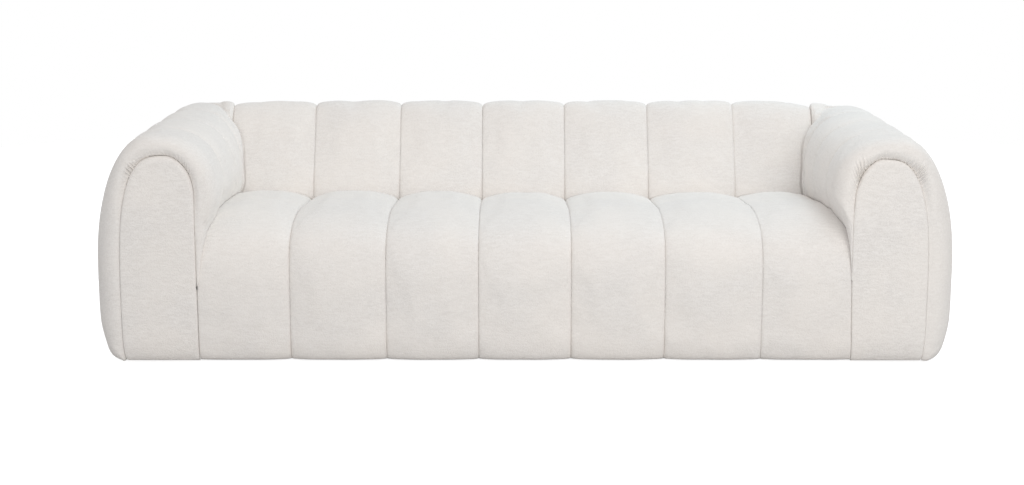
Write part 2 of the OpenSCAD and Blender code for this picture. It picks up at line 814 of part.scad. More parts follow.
module frame_bolts() {
    color(steel_color) at_bolts(side_in - clr, rear_front - clr) frame_bolt();
}

module bolt_nuts() {
    color(steel_color) at_bolts(half_in + clr + rail_w + clr, back_y + back_core + rail_w + clr)
        flanged_nut();
}

module glide_pilots() {
    for (g = glide_places) translate([g[0], g[1], frame_z - cut_over])
        cylinder(r = screw_r + pilot_clr, h = screw_l, $fn = 32);
}

module glides() {
    color(cloth_color) for (g = glide_places) translate([g[0], g[1], 0]) difference() {
        cylinder(r = glide_r, h = frame_z - clr, $fn = 64);
        translate([0, 0, -cut_over]) cylinder(r = recess_r, h = recess_h + cut_over, $fn = 40);
        cylinder(r = screw_r + bore_clr, h = frame_z, $fn = 32);
    }
}

module glide_screws() {
    color(steel_color) for (g = glide_places)
        translate([g[0], g[1], recess_h - screw_head_h - clr]) {
            cylinder(r = screw_head_r, h = screw_head_h, $fn = 32);
            cylinder(r = screw_r, h = screw_l, $fn = 32);
        }
}

module dust_cover() {
    x1 = half_in + arm_w - wrap_l - clr;
    y1 = overall_d / 2 - wrap_l - clr;
    color(cloth_color) difference() {
        block(-x1, x1, -y1, y1, frame_z - clr - cloth_t, frame_z - clr);
        for (g = glide_places) translate([g[0], g[1], 0])
            cylinder(r = glide_r + clr, h = 2 * frame_z, $fn = 64);
    }
}

seat_channel(0);  // seat_channel_1
seat_channel(1);  // seat_channel_2
seat_channel(2);  // seat_channel_3
seat_channel(3);  // seat_channel_4
seat_channel(4);  // seat_channel_5
seat_channel(5);  // seat_channel_6
seat_channel(6);  // seat_channel_7
back_channel(0);  // back_channel_1
back_channel(1);  // back_channel_2
back_channel(2);  // back_channel_3
back_channel(3);  // back_channel_4
back_channel(4);  // back_channel_5
back_channel(5);  // back_channel_6
back_channel(6);  // back_channel_7
mirror_if_left(true) back_corner();  // back_corner_left
back_corner();  // back_corner_right
mirror_if_left(true) arm_front();  // arm_front_left
mirror_if_left(true) arm_bay(1);  // arm_middle_left
mirror_if_left(true) arm_bay(2);  // arm_rear_left
mirror_if_left(true) arm_corner();  // arm_corner_left
arm_front();  // arm_front_right
arm_bay(1);  // arm_middle_right
arm_bay(2);  // arm_rear_right
arm_corner();  // arm_corner_right
mirror_if_left(true) front_panel();  // front_panel_left
front_panel();  // front_panel_right
panel_boards();
seat_foam();
spring_felt();
seat_springs();
spring_clips();
tie_wires();
front_board();
rear_board();
mirror_if_left(true) side_board();  // side_board_left
side_board();  // side_board_right
seat_rail(board_back + clr);  // seat_front_rail
seat_rail(rear_front - clr - rail_w);  // seat_rear_rail
cross_stretchers();
seat_posts();
back_ribs();
back_top_rail();
back_lower_rail();
back_outer_rail();
back_webbing();
back_skin();
mirror_if_left(true) arm_formers();  // arm_formers_left
arm_formers();  // arm_formers_right
mirror_if_left(true) arm_rails();  // arm_rails_left
arm_rails();  // arm_rails_right
mirror_if_left(true) arm_skin();  // arm_skin_left
arm_skin();  // arm_skin_right
corner_formers();
frame_bolts();
bolt_nuts();
glides();
glide_screws();
dust_cover();
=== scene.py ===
"""Looks of the channel-tufted sofa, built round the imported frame.

Shapes are worked out in millimetres, in the frame's own axes, and become metres when a mesh is made.
X is the width, -Y the front and Z up. s is the distance outward from the inside plane of an arm.
"""

import json
import math

import bmesh
import bpy
import numpy as np
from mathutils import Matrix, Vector
from mathutils.geometry import delaunay_2d_cdt


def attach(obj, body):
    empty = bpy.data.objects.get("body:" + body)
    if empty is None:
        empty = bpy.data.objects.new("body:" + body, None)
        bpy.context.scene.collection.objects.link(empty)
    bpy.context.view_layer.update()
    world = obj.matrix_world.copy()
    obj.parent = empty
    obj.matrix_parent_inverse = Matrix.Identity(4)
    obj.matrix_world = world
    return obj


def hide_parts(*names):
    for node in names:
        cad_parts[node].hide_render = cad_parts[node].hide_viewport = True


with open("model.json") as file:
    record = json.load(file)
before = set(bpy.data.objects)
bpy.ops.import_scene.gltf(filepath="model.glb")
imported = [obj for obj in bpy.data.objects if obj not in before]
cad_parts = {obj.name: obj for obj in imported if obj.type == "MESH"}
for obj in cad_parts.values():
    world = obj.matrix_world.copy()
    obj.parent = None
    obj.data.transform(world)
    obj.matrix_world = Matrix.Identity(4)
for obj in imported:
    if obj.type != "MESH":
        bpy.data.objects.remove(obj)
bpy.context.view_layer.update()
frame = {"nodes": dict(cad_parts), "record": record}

MM = 0.001

# Sizes of the sofa: the CAD source's own, or fitted a little closer to the photo
OVERALL_W, OVERALL_D = 2390.0, 915.0
BACK_H, ARM_H, SEAT_H = 650.0, 649.0, 409.0
ARM_W, BACK_T = 285.0, 285.0
ARM_BULGE, ARM_BULGE_Z = 60.0, 470.0
LEAN_S, LEAN_Z, OUTER_Z = 76.0, 530.0, 250.0
FOOT_TUCK, FOOT_TUCK_Z, FRONT_TUCK, FRONT_TUCK_Z = 44.0, 142.0, 19.0, 80.0
SHOULDER_Z, SHOULDER_L, SEAT_DIP = 230.0, 300.0, 24.0
ARM_PAD_T, BACK_PAD_T, SEAT_PAD_T, FRONT_PAD_T = 68.0, 56.0, 46.0, 40.0
SEAT_DRAW, BACK_DRAW, ARM_DRAW = 20.0, 12.0, 13.0
# How deep each seam is, as a share, from left to right
SEAT_DEEP = (1.0, 1.02, 0.9, 0.85, 1.0, 0.93, 0.62, 1.0)
BACK_DEEP = (1.0, 0.95, 0.95, 1.08, 1.0, 1.08, 0.75, 1.0)
ARM_TOP = (ARM_H, ARM_H - 9)
WRAP_L = 70.0
PANEL_IN, PANEL_T, PANEL_TUCK = 0.8, 32.0, 18.0
# Each front panel, left then right: its width, where its arch peaks, its height, where its inner side
# starts to turn and how long it stays upright, where its outer side starts to turn, and how full its
# shoulder is
PANELS = ((212.5, 73.3, 588.2, 467.0, 0.88, 120.0, 3.35), (203.7, 62.7, 578.2, 475.6, 0.78, 156.0, 3.26))
# How far the right panel's inner side leans in, by height
LEAN_AT, LEAN_IN = (0, 60, 130, 213, 270, 394, 439, 478, 512), (0, 1.5, 4, 6.4, 8.3, 8.7, 7.7, 3.8, 0)
FRAME_Z, FOOT_Z = 20.0, 8.0
ARM_RIDGE, BACK_RIDGE = 114.0, 171.0
ARM_FULL = 2.14
UNDERSIDE_DROP, ARM_LOW_Z = 7.0, 255.0
# How far an arm's foot reaches over the seat, by depth. Left, then right
OVERHANG = (((-440, -406, -386, -355, -312, 60, 170), (2, 15, 25, 32, 38, 36, 30)),
            ((-414, -391, -357, -340, -284, -193, 170), (3, 7, 17, 24, 33, 42, 38)))
MITRE_BOW, BACK_SEAM_OUT = 115.0, 8.0
# How much an arm's inner face thins toward the back, in its last bay and in its corner. Left, then right
SLIM, SLIM_MORE = (18.0, 10.0), (6.0, 9.0)
ROLL_L, ROLL_MORE, ROLL_SEAM = 62.0, 22.0, 14.0
SEAM_T, SEAM_ARCH_T, CORNER_DRAW = 6.0, 17.0, 12.0
CHANNELS, BAYS = 7, 3
CLR, SEAM_GAP = 0.3, 0.2

HALF_IN = OVERALL_W / 2 - ARM_W
FRONT_Y = -OVERALL_D / 2
BACK_Y = OVERALL_D / 2 - BACK_T
# Seams between the channels, a little uneven as on the real cover
SEAM_X = np.linspace(-HALF_IN, HALF_IN, CHANNELS + 1) + [0, -5.5, 2.5, 0, -2, -1, 8.5, 0]
CROWN_MORE = (5.0, 5.0, 2.0, -1.0, 0.0, -1.0, 0.0)
BAY_L = (BACK_Y - FRONT_Y) / BAYS
SEAT_BACK_Z = SEAT_H - SEAT_DIP
PAD_LOW = FRAME_Z - CLR

# Points on a line round a section, and the radius that its corners are rounded over
LINE_N = 150
ROUND = 9.0
# The gap over the seat of what rests on it, and an inset or tuck that is next to none
REST_CLR, HAIR = 0.8, 0.01
SEAT_UNEVEN, BACK_UNEVEN, ARM_UNEVEN, PANEL_UNEVEN = 1.2, 1.0, 0.9, 0.5
# Seeds of the unevenness, to which a channel's number or an arm's side is added
SEAT_SEED, BACK_SEED, ARM_SEED, FRONT_SEED = 100, 200, 300, 340
GATHER_SEED, ARM_CORNER_SEED, BACK_CORNER_SEED, PANEL_SEED = 360, 380, 390, 400
# Heights between which a form changes: above an arm's inner foot, over the upper arm and back, and at the
# top of an arm's inner face
ARM_LOWER_Z, UPPER_Z, FACE_TOP_Z = (400, 480), (480, 600), (600, 645)
# The same along the back's seam beside the left arm, at the mitre, at the back's crown beside the left arm,
# and from the seat's front to its top
BACK_SEAM_Z, MITRE_Z, CROWN_Z, SEAT_LEVEL_Z = (540, 600), (560, 640), (560, 640), (250, 380)
# How far in from an arm's inside plane the arm lies on the seat, and from where the cloth is wholly free
ARM_OVER = (48, 110)
# The end seams of the seat, as shares: on its front, and added on its top. Left, then right
SEAT_END_SHARES = ((0.36, 0.29), (0.20, 0.42))
# How much deeper the seat's seams get to the rear, and how far it drops beside the right arm
SEAT_REAR_DRAW, SEAT_END_DROP = 12.0, 12.0
# How the back gives way beside an arm: the reach and the depth, and the heights where it ends
BESIDE_REACH, BESIDE_DEEP, BESIDE_TOP_Z = 3.0, 7.0, (610, 640)
# How much lower the back's end channels lie: the left at its crown, the right all over, and more beside its
# arm
LEFT_DROP, RIGHT_DROP, RIGHT_MORE = 3.5, 3.0, 7.0
BACK_UPPER_DRAW = 5.0
# The slot between the left panel and the seat: how far the arm's foot reaches down to fill it, and the depths
# behind the front plane between which it stops
SLOT_FILL, SLOT_FROM, SLOT_TO = 40.0, 14.0, 26.0
# Inner walls of an arm's front pad: how far inside the panel's edge, and how far behind the front plane
FRONT_WALLS = ((HAIR, ROLL_SEAM + 12), (7.7, 40.0))
# Angle at which the roll leaves the panel's seam down the sides, and what the arch adds, in degrees
ROLL_START, ROLL_ARCH = 12, 38
# Length of one gather, thickness of the corners' pads, and a corner's length for its unevenness
GATHER_L = 10.5
CORNER_PAD_T, BACK_CORNER_PAD_T, CORNER_L = 71.0, 59.0, 200.0
# How straight a curve leaves its ends, as shares of its run and rise: the seat's shoulder, the back's face
# and the arm's face
SEAT_EASE_Y, SEAT_EASE_Z = 0.66, 0.83
BACK_EASE_LOW, BACK_EASE_TOP = 0.30, 0.50
ARM_EASE_LOW, ARM_EASE_TOP = 0.62, 0.70
# Heights at which the inner side of the seat's pad starts to turn, and above which the seat's table is taken
INNER_SHOULDER_Z, SEAT_TABLE_Z = 253.5, 215
# How much less an arm is drawn in at its inner foot, more over the left arm's top, and less at a mitre
FOOT_LESS, TOP_MORE, MITRE_LESS = 0.6, 0.25, 0.8
# Points along the roll's edge. Its arch, where they lie closer: place as a share, half length, and how much
FRONT_N = 420
ARCH_AT, ARCH_HALF, ARCH_MORE = 0.29, 0.15, 1.8


# Lines

def bezier(a, b, c, d, n=24):
    t = np.linspace(0, 1, n + 1)[:, None]
    a, b, c, d = (np.array(p, float) for p in (a, b, c, d))
    u = 1 - t
    return u ** 3 * a + 3 * u * u * t * b + 3 * u * t * t * c + t ** 3 * d


def ellipse(centre, rx, rz, a0, a1, n=24, power=2.0):
    """Part of an ellipse between two angles; a power above 2 fills its shoulders."""
    w = np.radians(np.linspace(a0, a1, n + 1)[1:])
    c, s = np.cos(w), np.sin(w)
    return np.column_stack([centre[0] + rx * np.sign(c) * np.abs(c) ** (2 / power),
                            centre[1] + rz * np.sign(s) * np.abs(s) ** (2 / power)])


def lengths(line):
    return np.concatenate([[0], np.cumsum(np.hypot(*np.diff(line, axis=0).T))])


def even(line, n=LINE_N):
    """n points at even steps along a line."""
    at = lengths(line)
    want = np.linspace(0, at[-1], n)
    return np.column_stack([np.interp(want, at, line[:, k]) for k in range(line.shape[1])])


def smooth(line, radius):
    """Rounds a line's corners over about that radius, and keeps its ends."""
    step = lengths(line)[-1] / (len(line) - 1)
    sigma = radius / step
    reach = int(math.ceil(3 * sigma))
    kernel = np.exp(-0.5 * (np.arange(-reach, reach + 1) / sigma) ** 2)
    kernel /= kernel.sum()
    before = 2 * line[0] - line[reach:0:-1]
    after = 2 * line[-1] - line[-2:-reach - 2:-1]
    padded = np.vstack([before, line, after])
    return np.column_stack([np.convolve(padded[:, k], kernel, "valid") for k in range(line.shape[1])])


def ramp(x, a, b):
    """0 before a, 1 after b, and smooth between."""
    t = np.clip((np.asarray(x, float) - a) / (b - a), 0, 1)
    return t * t * (3 - 2 * t)


def foot(s_out, s_end, tuck, tuck_z, end_z):
    return np.vstack([[[s_out, tuck_z]], ellipse((s_out - tuck, tuck_z), tuck, tuck_z - end_z, 0, -90, 14),
                      [[s_end, end_z]]])


def seat_crest():
    top = np.array([FRONT_Y + SHOULDER_L, SEAT_H])
    low = np.array([FRONT_Y, SHOULDER_Z])
    fall = top[1] - low[1]
    line = np.vstack([
        [[BACK_Y + BACK_PAD_T - CLR, SEAT_BACK_Z - 18], [BACK_Y + 16, SEAT_BACK_Z - 14],
         [BACK_Y - 22, SEAT_BACK_Z - 1], [BACK_Y - 70, SEAT_BACK_Z + 8]],
        bezier(top, top - [SEAT_EASE_Y * SHOULDER_L, 0], low + [0, SEAT_EASE_Z * fall], low, 40),
        [[low[0], FRONT_TUCK_Z]],
        ellipse((low[0] + FRONT_TUCK, FRONT_TUCK_Z), FRONT_TUCK, FRONT_TUCK_Z - FOOT_Z, 180, 270, 14),
        [[FRONT_Y + WRAP_L, FOOT_Z]]])
    return smooth(even(line), ROUND)


def seat_inner():
    top = np.array([FRONT_Y + SHOULDER_L, SEAT_H - SEAT_PAD_T])
    low = np.array([FRONT_Y + FRONT_PAD_T, INNER_SHOULDER_Z])
    fall = top[1] - low[1]
    return even(np.vstack([
        [[BACK_Y + BACK_PAD_T - CLR, SEAT_BACK_Z - SEAT_PAD_T], [BACK_Y - 20, SEAT_BACK_Z - SEAT_PAD_T]],
        bezier(top, top - [SEAT_EASE_Y * SHOULDER_L, 0], low + [0, SEAT_EASE_Z * fall], low, 40),
        [[low[0], PAD_LOW], [FRONT_Y + WRAP_L, PAD_LOW]]]))


SEAT_CREST = seat_crest()


def seat_z(y):
    top = SEAT_CREST[:, 1] > SHOULDER_Z - 40
    return float(np.interp(y, SEAT_CREST[top][::-1, 0], SEAT_CREST[top][::-1, 1]))


def arm_points(side, inset, y, lower=0.0, tuck=FOOT_TUCK, end_z=FOOT_Z):
    low = np.array([inset - ARM_BULGE, ARM_BULGE_Z])
    top = np.array([ARM_RIDGE, ARM_TOP[side > 0] - lower - inset])
    rise = top - low
    z = seat_z(y)
    foot_line = [[inset - np.interp(y, *OVERHANG[side > 0]), z - UNDERSIDE_DROP]]
    if inset:
        foot_line = [[inset, ARM_LOW_Z], [inset, z - SEAT_DRAW]] + foot_line
    return np.vstack([
        foot_line,
        bezier(low, low + [0, ARM_EASE_LOW * rise[1]], top - [ARM_EASE_TOP * rise[0], 0], top, 30),
        ellipse((ARM_RIDGE, OUTER_Z), ARM_W - inset - ARM_RIDGE, top[1] - OUTER_Z, 90, 0, 36, ARM_FULL),
        foot(ARM_W - inset, ARM_W - WRAP_L, tuck, FOOT_TUCK_Z, end_z)])


def arm_crest(side, y, lower=0.0, n=LINE_N):
    return smooth(even(arm_points(side, 0, y, lower), n), ROUND)


def panel_edge(side, inset, foot_line, end):
    """A panel's edge from its inner foot, over the arch and down to its outer foot, given both feet."""
    width, top_s, top_z, inner_z, upright, outer_z, full = PANELS[side > 0]
    low = np.array([PANEL_IN + inset, inner_z])
    top = np.array([PANEL_IN + top_s, top_z - inset])
    out_s = PANEL_IN + width - inset
    rise = top - low
    line = np.vstack([
        foot_line,
        [[low[0], z] for z in np.arange(foot_line[-1][1] + 30, low[1] - 20, 30)],
        bezier(low, low + [0, upright * rise[1]], top - [0.05 * rise[0], 0], top, 40),
        ellipse((top[0], outer_z), out_s - top[0], top[1] - outer_z, 90, 0, 48, full),
        foot(out_s, end[0], 8, min(FOOT_TUCK_Z, outer_z), end[1])])
    if side > 0:
        line[:, 0] -= np.interp(line[:, 1], LEAN_AT, LEAN_IN) * (1 - ramp(line[:, 0], 0, 45))
    return line


def panel_points(side, inset, y, end_z=FOOT_Z):
    z = seat_z(y)
    foot_line = [[PANEL_IN + inset, z - UNDERSIDE_DROP]]
    if inset:
        foot_line = [[PANEL_IN + inset, ARM_LOW_Z], [PANEL_IN + inset, z - SEAT_DRAW]] + foot_line
    return panel_edge(side, inset, foot_line, (ARM_W - WRAP_L, end_z))


def back_bend(bend, top):
    """The back's face from the top of its lean to its crown."""
    way = np.array([LEAN_S, LEAN_Z - SEAT_BACK_Z])
    rise = top - bend
    return bezier(bend, bend + way * (BACK_EASE_LOW * rise[1] / way[1]),
                  top - [BACK_EASE_TOP * rise[0], 0], top, 24)


def back_crest():
    line = np.vstack([
        [[4, SEAT_BACK_Z - 10], [LEAN_S * 0.16, SEAT_BACK_Z + 24]],
        back_bend(np.array([LEAN_S, LEAN_Z]), np.array([BACK_RIDGE, BACK_H])),
        ellipse((BACK_RIDGE, OUTER_Z), BACK_T - BACK_RIDGE, BACK_H - OUTER_Z, 90, 0, 36),
        foot(BACK_T, BACK_T - WRAP_L, FOOT_TUCK, FOOT_TUCK_Z, FOOT_Z)])
    return smooth(even(line), ROUND)


def back_inner(pad=BACK_PAD_T):
    top = np.array([BACK_RIDGE, BACK_H - pad])
    return even(np.vstack([
        [[pad, SEAT_BACK_Z - 11]],
        back_bend(np.array([LEAN_S + pad, LEAN_Z]), top),
        ellipse((BACK_RIDGE, OUTER_Z), BACK_T - pad - BACK_RIDGE, top[1] - OUTER_Z, 90, 0, 36),
        [[BACK_T - pad, PAD_LOW], [BACK_T - WRAP_L, PAD_LOW]]]))


BACK_CREST = back_crest()
BACK_TOP = int(np.argmax(BACK_CREST[:, 1]))
_face = BACK_CREST[:BACK_TOP]


def back_face(z):
    return np.interp(z, _face[:, 1], _face[:, 0])


# Drawing in

def inward(line, side):
    """Unit directions into the padding: to the right of the way along the line for side 1, to the left
    for -1. Below the tuck they stay level, and they fade out along the underside."""
    way = np.gradient(line, axis=0)
    way /= np.maximum(np.hypot(way[:, 0], way[:, 1]), 1e-9)[:, None]
    into = side * np.column_stack([way[:, 1], -way[:, 0]])
    last_high = np.nonzero(line[:, 1] > FOOT_TUCK_Z + 4)[0][-1]
    into[last_high:] = into[last_high]
    at = lengths(line)
    into[last_high:] *= (1 - ramp(at[last_high:], at[-1] - 34, at[-1] - 4))[:, None]
    return into


def sag(u, power=2.6):
    """Drawing in across a channel, from 1 at its seams to 0 at its crown."""
    return 1 - np.sqrt(np.maximum(0, 1 - np.abs(2 * u - 1) ** power))


def puff(u):
    """Drawing in along an arm, rounder than across a channel."""
    return sag(u, 2.0)


def shares(n, ease=0.55):
    """Shares from 0 to 1, closer together near both ends."""
    t = np.linspace(0, 1, n)
    return (1 - ease) * t + ease * (1 - np.cos(np.pi * t)) / 2


def arm_draw(side, line):
    """How far an arm is drawn in at the seams across it: less at its inner foot, more over a left
    arm's top."""
    low = 1 - ramp(line[:, 1], *ARM_LOWER_Z)
    low[int(np.argmax(line[:, 1])):] = 0
    over = ramp(line[:, 1], *UPPER_Z) if side < 0 else 0
    return ARM_DRAW * (1 - FOOT_LESS * low + TOP_MORE * over)


class Waves:
    """Smooth seeded unevenness over a surface, from -1 to 1: a sum of waves in two directions."""

    def __init__(self, seed, short, long, n=10):
        rng = np.random.default_rng(seed)
        length = rng.uniform(short, long, n)
        way = rng.uniform(0, np.pi, n)
        self.kx, self.ky = 2 * np.pi * np.cos(way) / length, 2 * np.pi * np.sin(way) / length
        self.phase = rng.uniform(0, 2 * np.pi, n)
        self.scale = math.sqrt(2.0 / n) / 2

    def __call__(self, x, y):
        x, y = np.asarray(x)[..., None], np.asarray(y)[..., None]
        return self.scale * np.sin(self.kx * x + self.ky * y + self.phase).sum(-1)


# Meshes

def make(name, points, faces):
    mesh = bpy.data.meshes.new(name)
    mesh.from_pydata((np.asarray(points, float) * MM).tolist(), [], faces)
    bm = bmesh.new()
    bm.from_mesh(mesh)
    bmesh.ops.recalc_face_normals(bm, faces=bm.faces)
    bm.to_mesh(mesh)
    bm.free()
    mesh.polygons.foreach_set("use_smooth", [True] * len(mesh.polygons))
    obj = bpy.data.objects.new(name, mesh)
    bpy.context.scene.collection.objects.link(obj)
    return obj


def strip(a, b):
    """Quads between two rows of point numbers."""
    return [[a[i], a[i + 1], b[i + 1], b[i]] for i in range(len(a) - 1)]


# Each pad made from a grid: its object, its lines, the points on a line, and how free its cloth is
grids = []


def closed_pad(name, outer, inner, free=1.0):
    """A closed pad: a grid of outer points, and a few inner lines from its first station to its last.
    free is how much of its cloth's movement the pad keeps, from place to place."""
    m, n = outer.shape[:2]
    k = inner.shape[0]
    points = np.vstack([outer.reshape(-1, 3), inner.reshape(-1, 3)])
    o = np.arange(m * n).reshape(m, n)
    q = m * n + np.arange(k * n).reshape(k, n)
    faces = []
    for j in range(m - 1):
        faces += strip(o[j], o[j + 1])
    for j in range(k - 1):
        faces += strip(q[j + 1], q[j])
    faces += strip(q[0], o[0]) + strip(o[-1], q[-1])
    for end in (0, n - 1):
        faces.append(list(o[:, end]) + list(q[::-1, end]))
    obj = make(name, points, [[int(i) for i in f] for f in faces])
    grids.append((obj, m, n, np.broadcast_to(free, (m, n)).ravel()))
    return obj


def finish_pad(obj, node, slot_name):
    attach(obj, "root")
    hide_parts(node)
    obj.data.materials.append(materials[slot_name])
    return obj


def mirrored(points):
    return points * np.array([-1.0, 1.0, 1.0])


def side_pad(side, name, node, outer, walls, free=1.0):
    """A pad of an arm or a corner, worked out on the right and mirrored for the left."""
    if side < 0:
        outer, walls = mirrored(outer), mirrored(walls)
    return finish_pad(closed_pad(name, outer, walls, free), node, "boucle_cover")


# Cloth

CLOTH_FRAMES = 20
CLOTH_CAP = 3 * MM
CLOTH = {
    "quality": 4, "mass": 0.3, "tension_stiffness": 15, "compression_stiffness": 15, "shear_stiffness": 5,
    "bending_stiffness": 0.3, "use_pressure": True, "uniform_pressure_force": 4, "shrink_min": -0.015,
}
# Points held at the start of each line, lines that the movement fades in over from a seam, and the parts of a
# line's length of which one fades at each end
HELD_POINTS, FADE_LINES, END_FADE = 10, 3, 16.0


def coords(mesh, what="co"):
    """A mesh's points, or its normals, as rows."""
    values = np.empty(len(mesh.vertices) * 3)
    mesh.vertices.foreach_get(what, values)
    return values.reshape(-1, 3)


def add_cloth(obj, m, n):
    """Gives a pad its cloth, held along its seams, at both ends of its lines and on its inner walls."""
    row, col = np.divmod(np.arange(m * n), n)
    edge = (row == 0) | (row == m - 1) | (col < HELD_POINTS) | (col == n - 1)
    fixed = np.append(np.nonzero(edge)[0], np.arange(m * n, len(obj.data.vertices)))
    obj.vertex_groups.new(name="held").add(fixed.tolist(), 1.0, "REPLACE")
    cloth = obj.modifiers.new("cloth", "CLOTH")
    cloth.settings.vertex_group_mass = "held"
    for key, value in CLOTH.items():
        setattr(cloth.settings, key, value)
    cloth.settings.effector_weights.gravity = 0
    cloth.collision_settings.use_collision = False
    cloth.collision_settings.use_self_collision = False
    cloth.point_cache.frame_start, cloth.point_cache.frame_end = 1, CLOTH_FRAMES


def calmed(move, normal, m, n, free):
    """A pad's movement less its mean swell, faded out near its seams and line ends, and capped."""
    row, col = np.divmod(np.arange(m * n), n)
    along = np.minimum(np.maximum(col - (HELD_POINTS - 1), 0), n - 1 - col) * END_FADE / n
    away = np.minimum(np.minimum(row, m - 1 - row) / FADE_LINES, along)
    mask = ramp(away, 0, 1) * free
    swell = (move * normal).sum(1).reshape(m, n)
    mean = swell[FADE_LINES:-FADE_LINES].mean(0)
    move = (move - np.tile(mean, m)[:, None] * normal) * mask[:, None]
    size = np.linalg.norm(move, axis=1)
    return move * np.minimum(1, CLOTH_CAP / np.maximum(size, 1e-9))[:, None]


def inflate():
    """Lets every grid pad settle as cloth under air pressure, all of them at once.

    The pads start full, so the mean swell across each pad is taken off again: what stays, up to the cap, is
    the cloth's own shape between its seams.
    """
    scene = bpy.context.scene
    for obj, m, n, _ in grids:
        add_cloth(obj, m, n)
    for step in range(1, CLOTH_FRAMES + 1):
        scene.frame_set(step)
    depsgraph = bpy.context.evaluated_depsgraph_get()
    settled = [coords(obj.evaluated_get(depsgraph).data)[:m * n] for obj, m, n, _ in grids]
    for (obj, m, n, free), after in zip(grids, settled):
        obj.modifiers.remove(obj.modifiers["cloth"])
        obj.vertex_groups.clear()
        points = coords(obj.data)
        normal = coords(obj.data, "normal")[:m * n]
        points[:m * n] += calmed(after - points[:m * n], normal, m, n, free)
        obj.data.vertices.foreach_set("co", points.ravel())
        obj.data.update()
    scene.frame_set(1)


# Seat and back


def channel(i, deep, first=1.0, last=1.0, extra=()):
    """Places across channel i, and how far it is drawn in there. first and last are shares for the
    sofa's two ends, and extra holds more places."""
    u = np.unique(np.append(shares(31), extra))
    s = (sag(u) * np.where(u < 0.5, deep[i], deep[i + 1]))[:, None]
    if i == 0:
        s = np.where(u[:, None] < 0.5, s * first, s)
    if i == CHANNELS - 1:
        s = np.where(u[:, None] > 0.5, s * last, s)
    return SEAM_X[i] + SEAM_GAP + u * (SEAM_X[i + 1] - SEAM_X[i] - 2 * SEAM_GAP), s


def clear_of_arm(points):
    """0 where an arm lies on the seat or the back, and 1 clear of it."""
    return ramp(HALF_IN - np.abs(points[..., 0]), *ARM_OVER)


def seat_lean(line):
    """How far the seat's right front end leans in with the panel beside it."""
    share = (1 - ramp(line[:, 0], FRONT_Y + 60, FRONT_Y + 200)) * (1 - ramp(line[:, 1], 290, 335))
    return np.interp(line[:, 1], LEAN_AT, LEAN_IN) * share


def seat_surface(i):
    crest, into = SEAT_CREST, inward(SEAT_CREST, -1)
    level = ramp(crest[:, 1], *SEAT_LEVEL_Z)
    first, last = (low + more * level for low, more in SEAT_END_SHARES)
    x, s = channel(i, SEAT_DEEP, first, last)
    waves = Waves(SEAT_SEED + i, 60, 160)
    draw = SEAT_DRAW * (1 - 0.2 * ramp(crest[:, 1], 300, 370)) + SEAT_REAR_DRAW * ramp(crest[:, 0], -300, 130)
    uneven = SEAT_UNEVEN * (1 + waves(x[:, None], lengths(crest)))
    d = s * draw + (uneven - CROWN_MORE[i] * level) * (1 - s)
    if i == CHANNELS - 1:
        beside = ramp(x, HALF_IN - 95, HALF_IN - 10)[:, None]
        d = d + SEAT_END_DROP * beside * level * ramp(crest[:, 0], -260, 120)
    points = np.empty((len(x), len(crest), 3))
    points[..., 0] = x[:, None]
    points[..., 1:] = crest + into * d[..., None]
    if i == CHANNELS - 1:
        points[..., 0] -= seat_lean(crest) * ramp(x, HALF_IN - 60, HALF_IN)[:, None]
    return points


def seat_pad(i):
    outer = seat_surface(i)
    inner = seat_inner()
    walls = np.stack([np.column_stack([np.full(len(inner), v), inner]) for v in outer[[0, -1], 0, 0]])
    if i == CHANNELS - 1:
        walls[1, :, 0] -= seat_lean(inner)
    free = clear_of_arm(outer) * ramp(outer[..., 2], 60, 160)
    pad = closed_pad("seat_pad_%d" % (i + 1), outer, walls, free)
    return finish_pad(pad, "seat_channel_%d" % (i + 1), "boucle_cover")


def beside_arm(side, x, z):
    """1 on the back's face where it meets the inner face of an arm, and 0 away from there."""
    crest = corner_section(side, 1)
    top = int(np.argmax(crest[:, 1]))
    low = int(np.argmin(crest[:top, 0]))
    arm_s = np.interp(z, crest[low:top, 1], crest[low:top, 0])
    arm_s = np.where(z < crest[low, 1], np.interp(z, crest[:low + 1, 1], crest[:low + 1, 0]), arm_s)
    gap = arm_s - (side * x - HALF_IN)
    return np.where(gap < 0, 1.0, np.exp(-(gap / BESIDE_REACH) ** 2)) * (1 - ramp(z, *BESIDE_TOP_Z))


def seat_table(i):
    """Heights of a seat channel's surface, by place across it and by depth."""
    points = seat_surface(i)
    top = int(np.nonzero(SEAT_CREST[:, 1] > SEAT_TABLE_Z)[0][-1])
    return points[:, 0, 0], np.stack([np.interp(SEAT_YS, p[:top][::-1, 1], p[:top][::-1, 2]) for p in points])


SEAT_STEP = 3.0
SEAT_YS = np.arange(FRONT_Y, BACK_Y + BACK_PAD_T + 10, SEAT_STEP)
SEAT_TABLES = [seat_table(i) for i in range(CHANNELS)]


def seat_top(i, x, y):
    """Height just over a seat channel."""
    xs, heights = SEAT_TABLES[i]
    at = min(max((y - SEAT_YS[0]) / SEAT_STEP, 0), len(SEAT_YS) - 1.001)
    k = int(at)
    row = heights[:, k] + (heights[:, k + 1] - heights[:, k]) * (at - k)
    return float(np.interp(x, xs, row)) + REST_CLR


def back_draw(crest):
    """How far the back is drawn in at its seams: more in its upper part."""
    return BACK_DRAW + BACK_UPPER_DRAW * ramp(crest[:, 1], *UPPER_Z)


def back_seam_out(z):
    """How far the seam between the back and the left corner lies outward, by height."""
    return BACK_SEAM_OUT * ramp(z, *BACK_SEAM_Z)


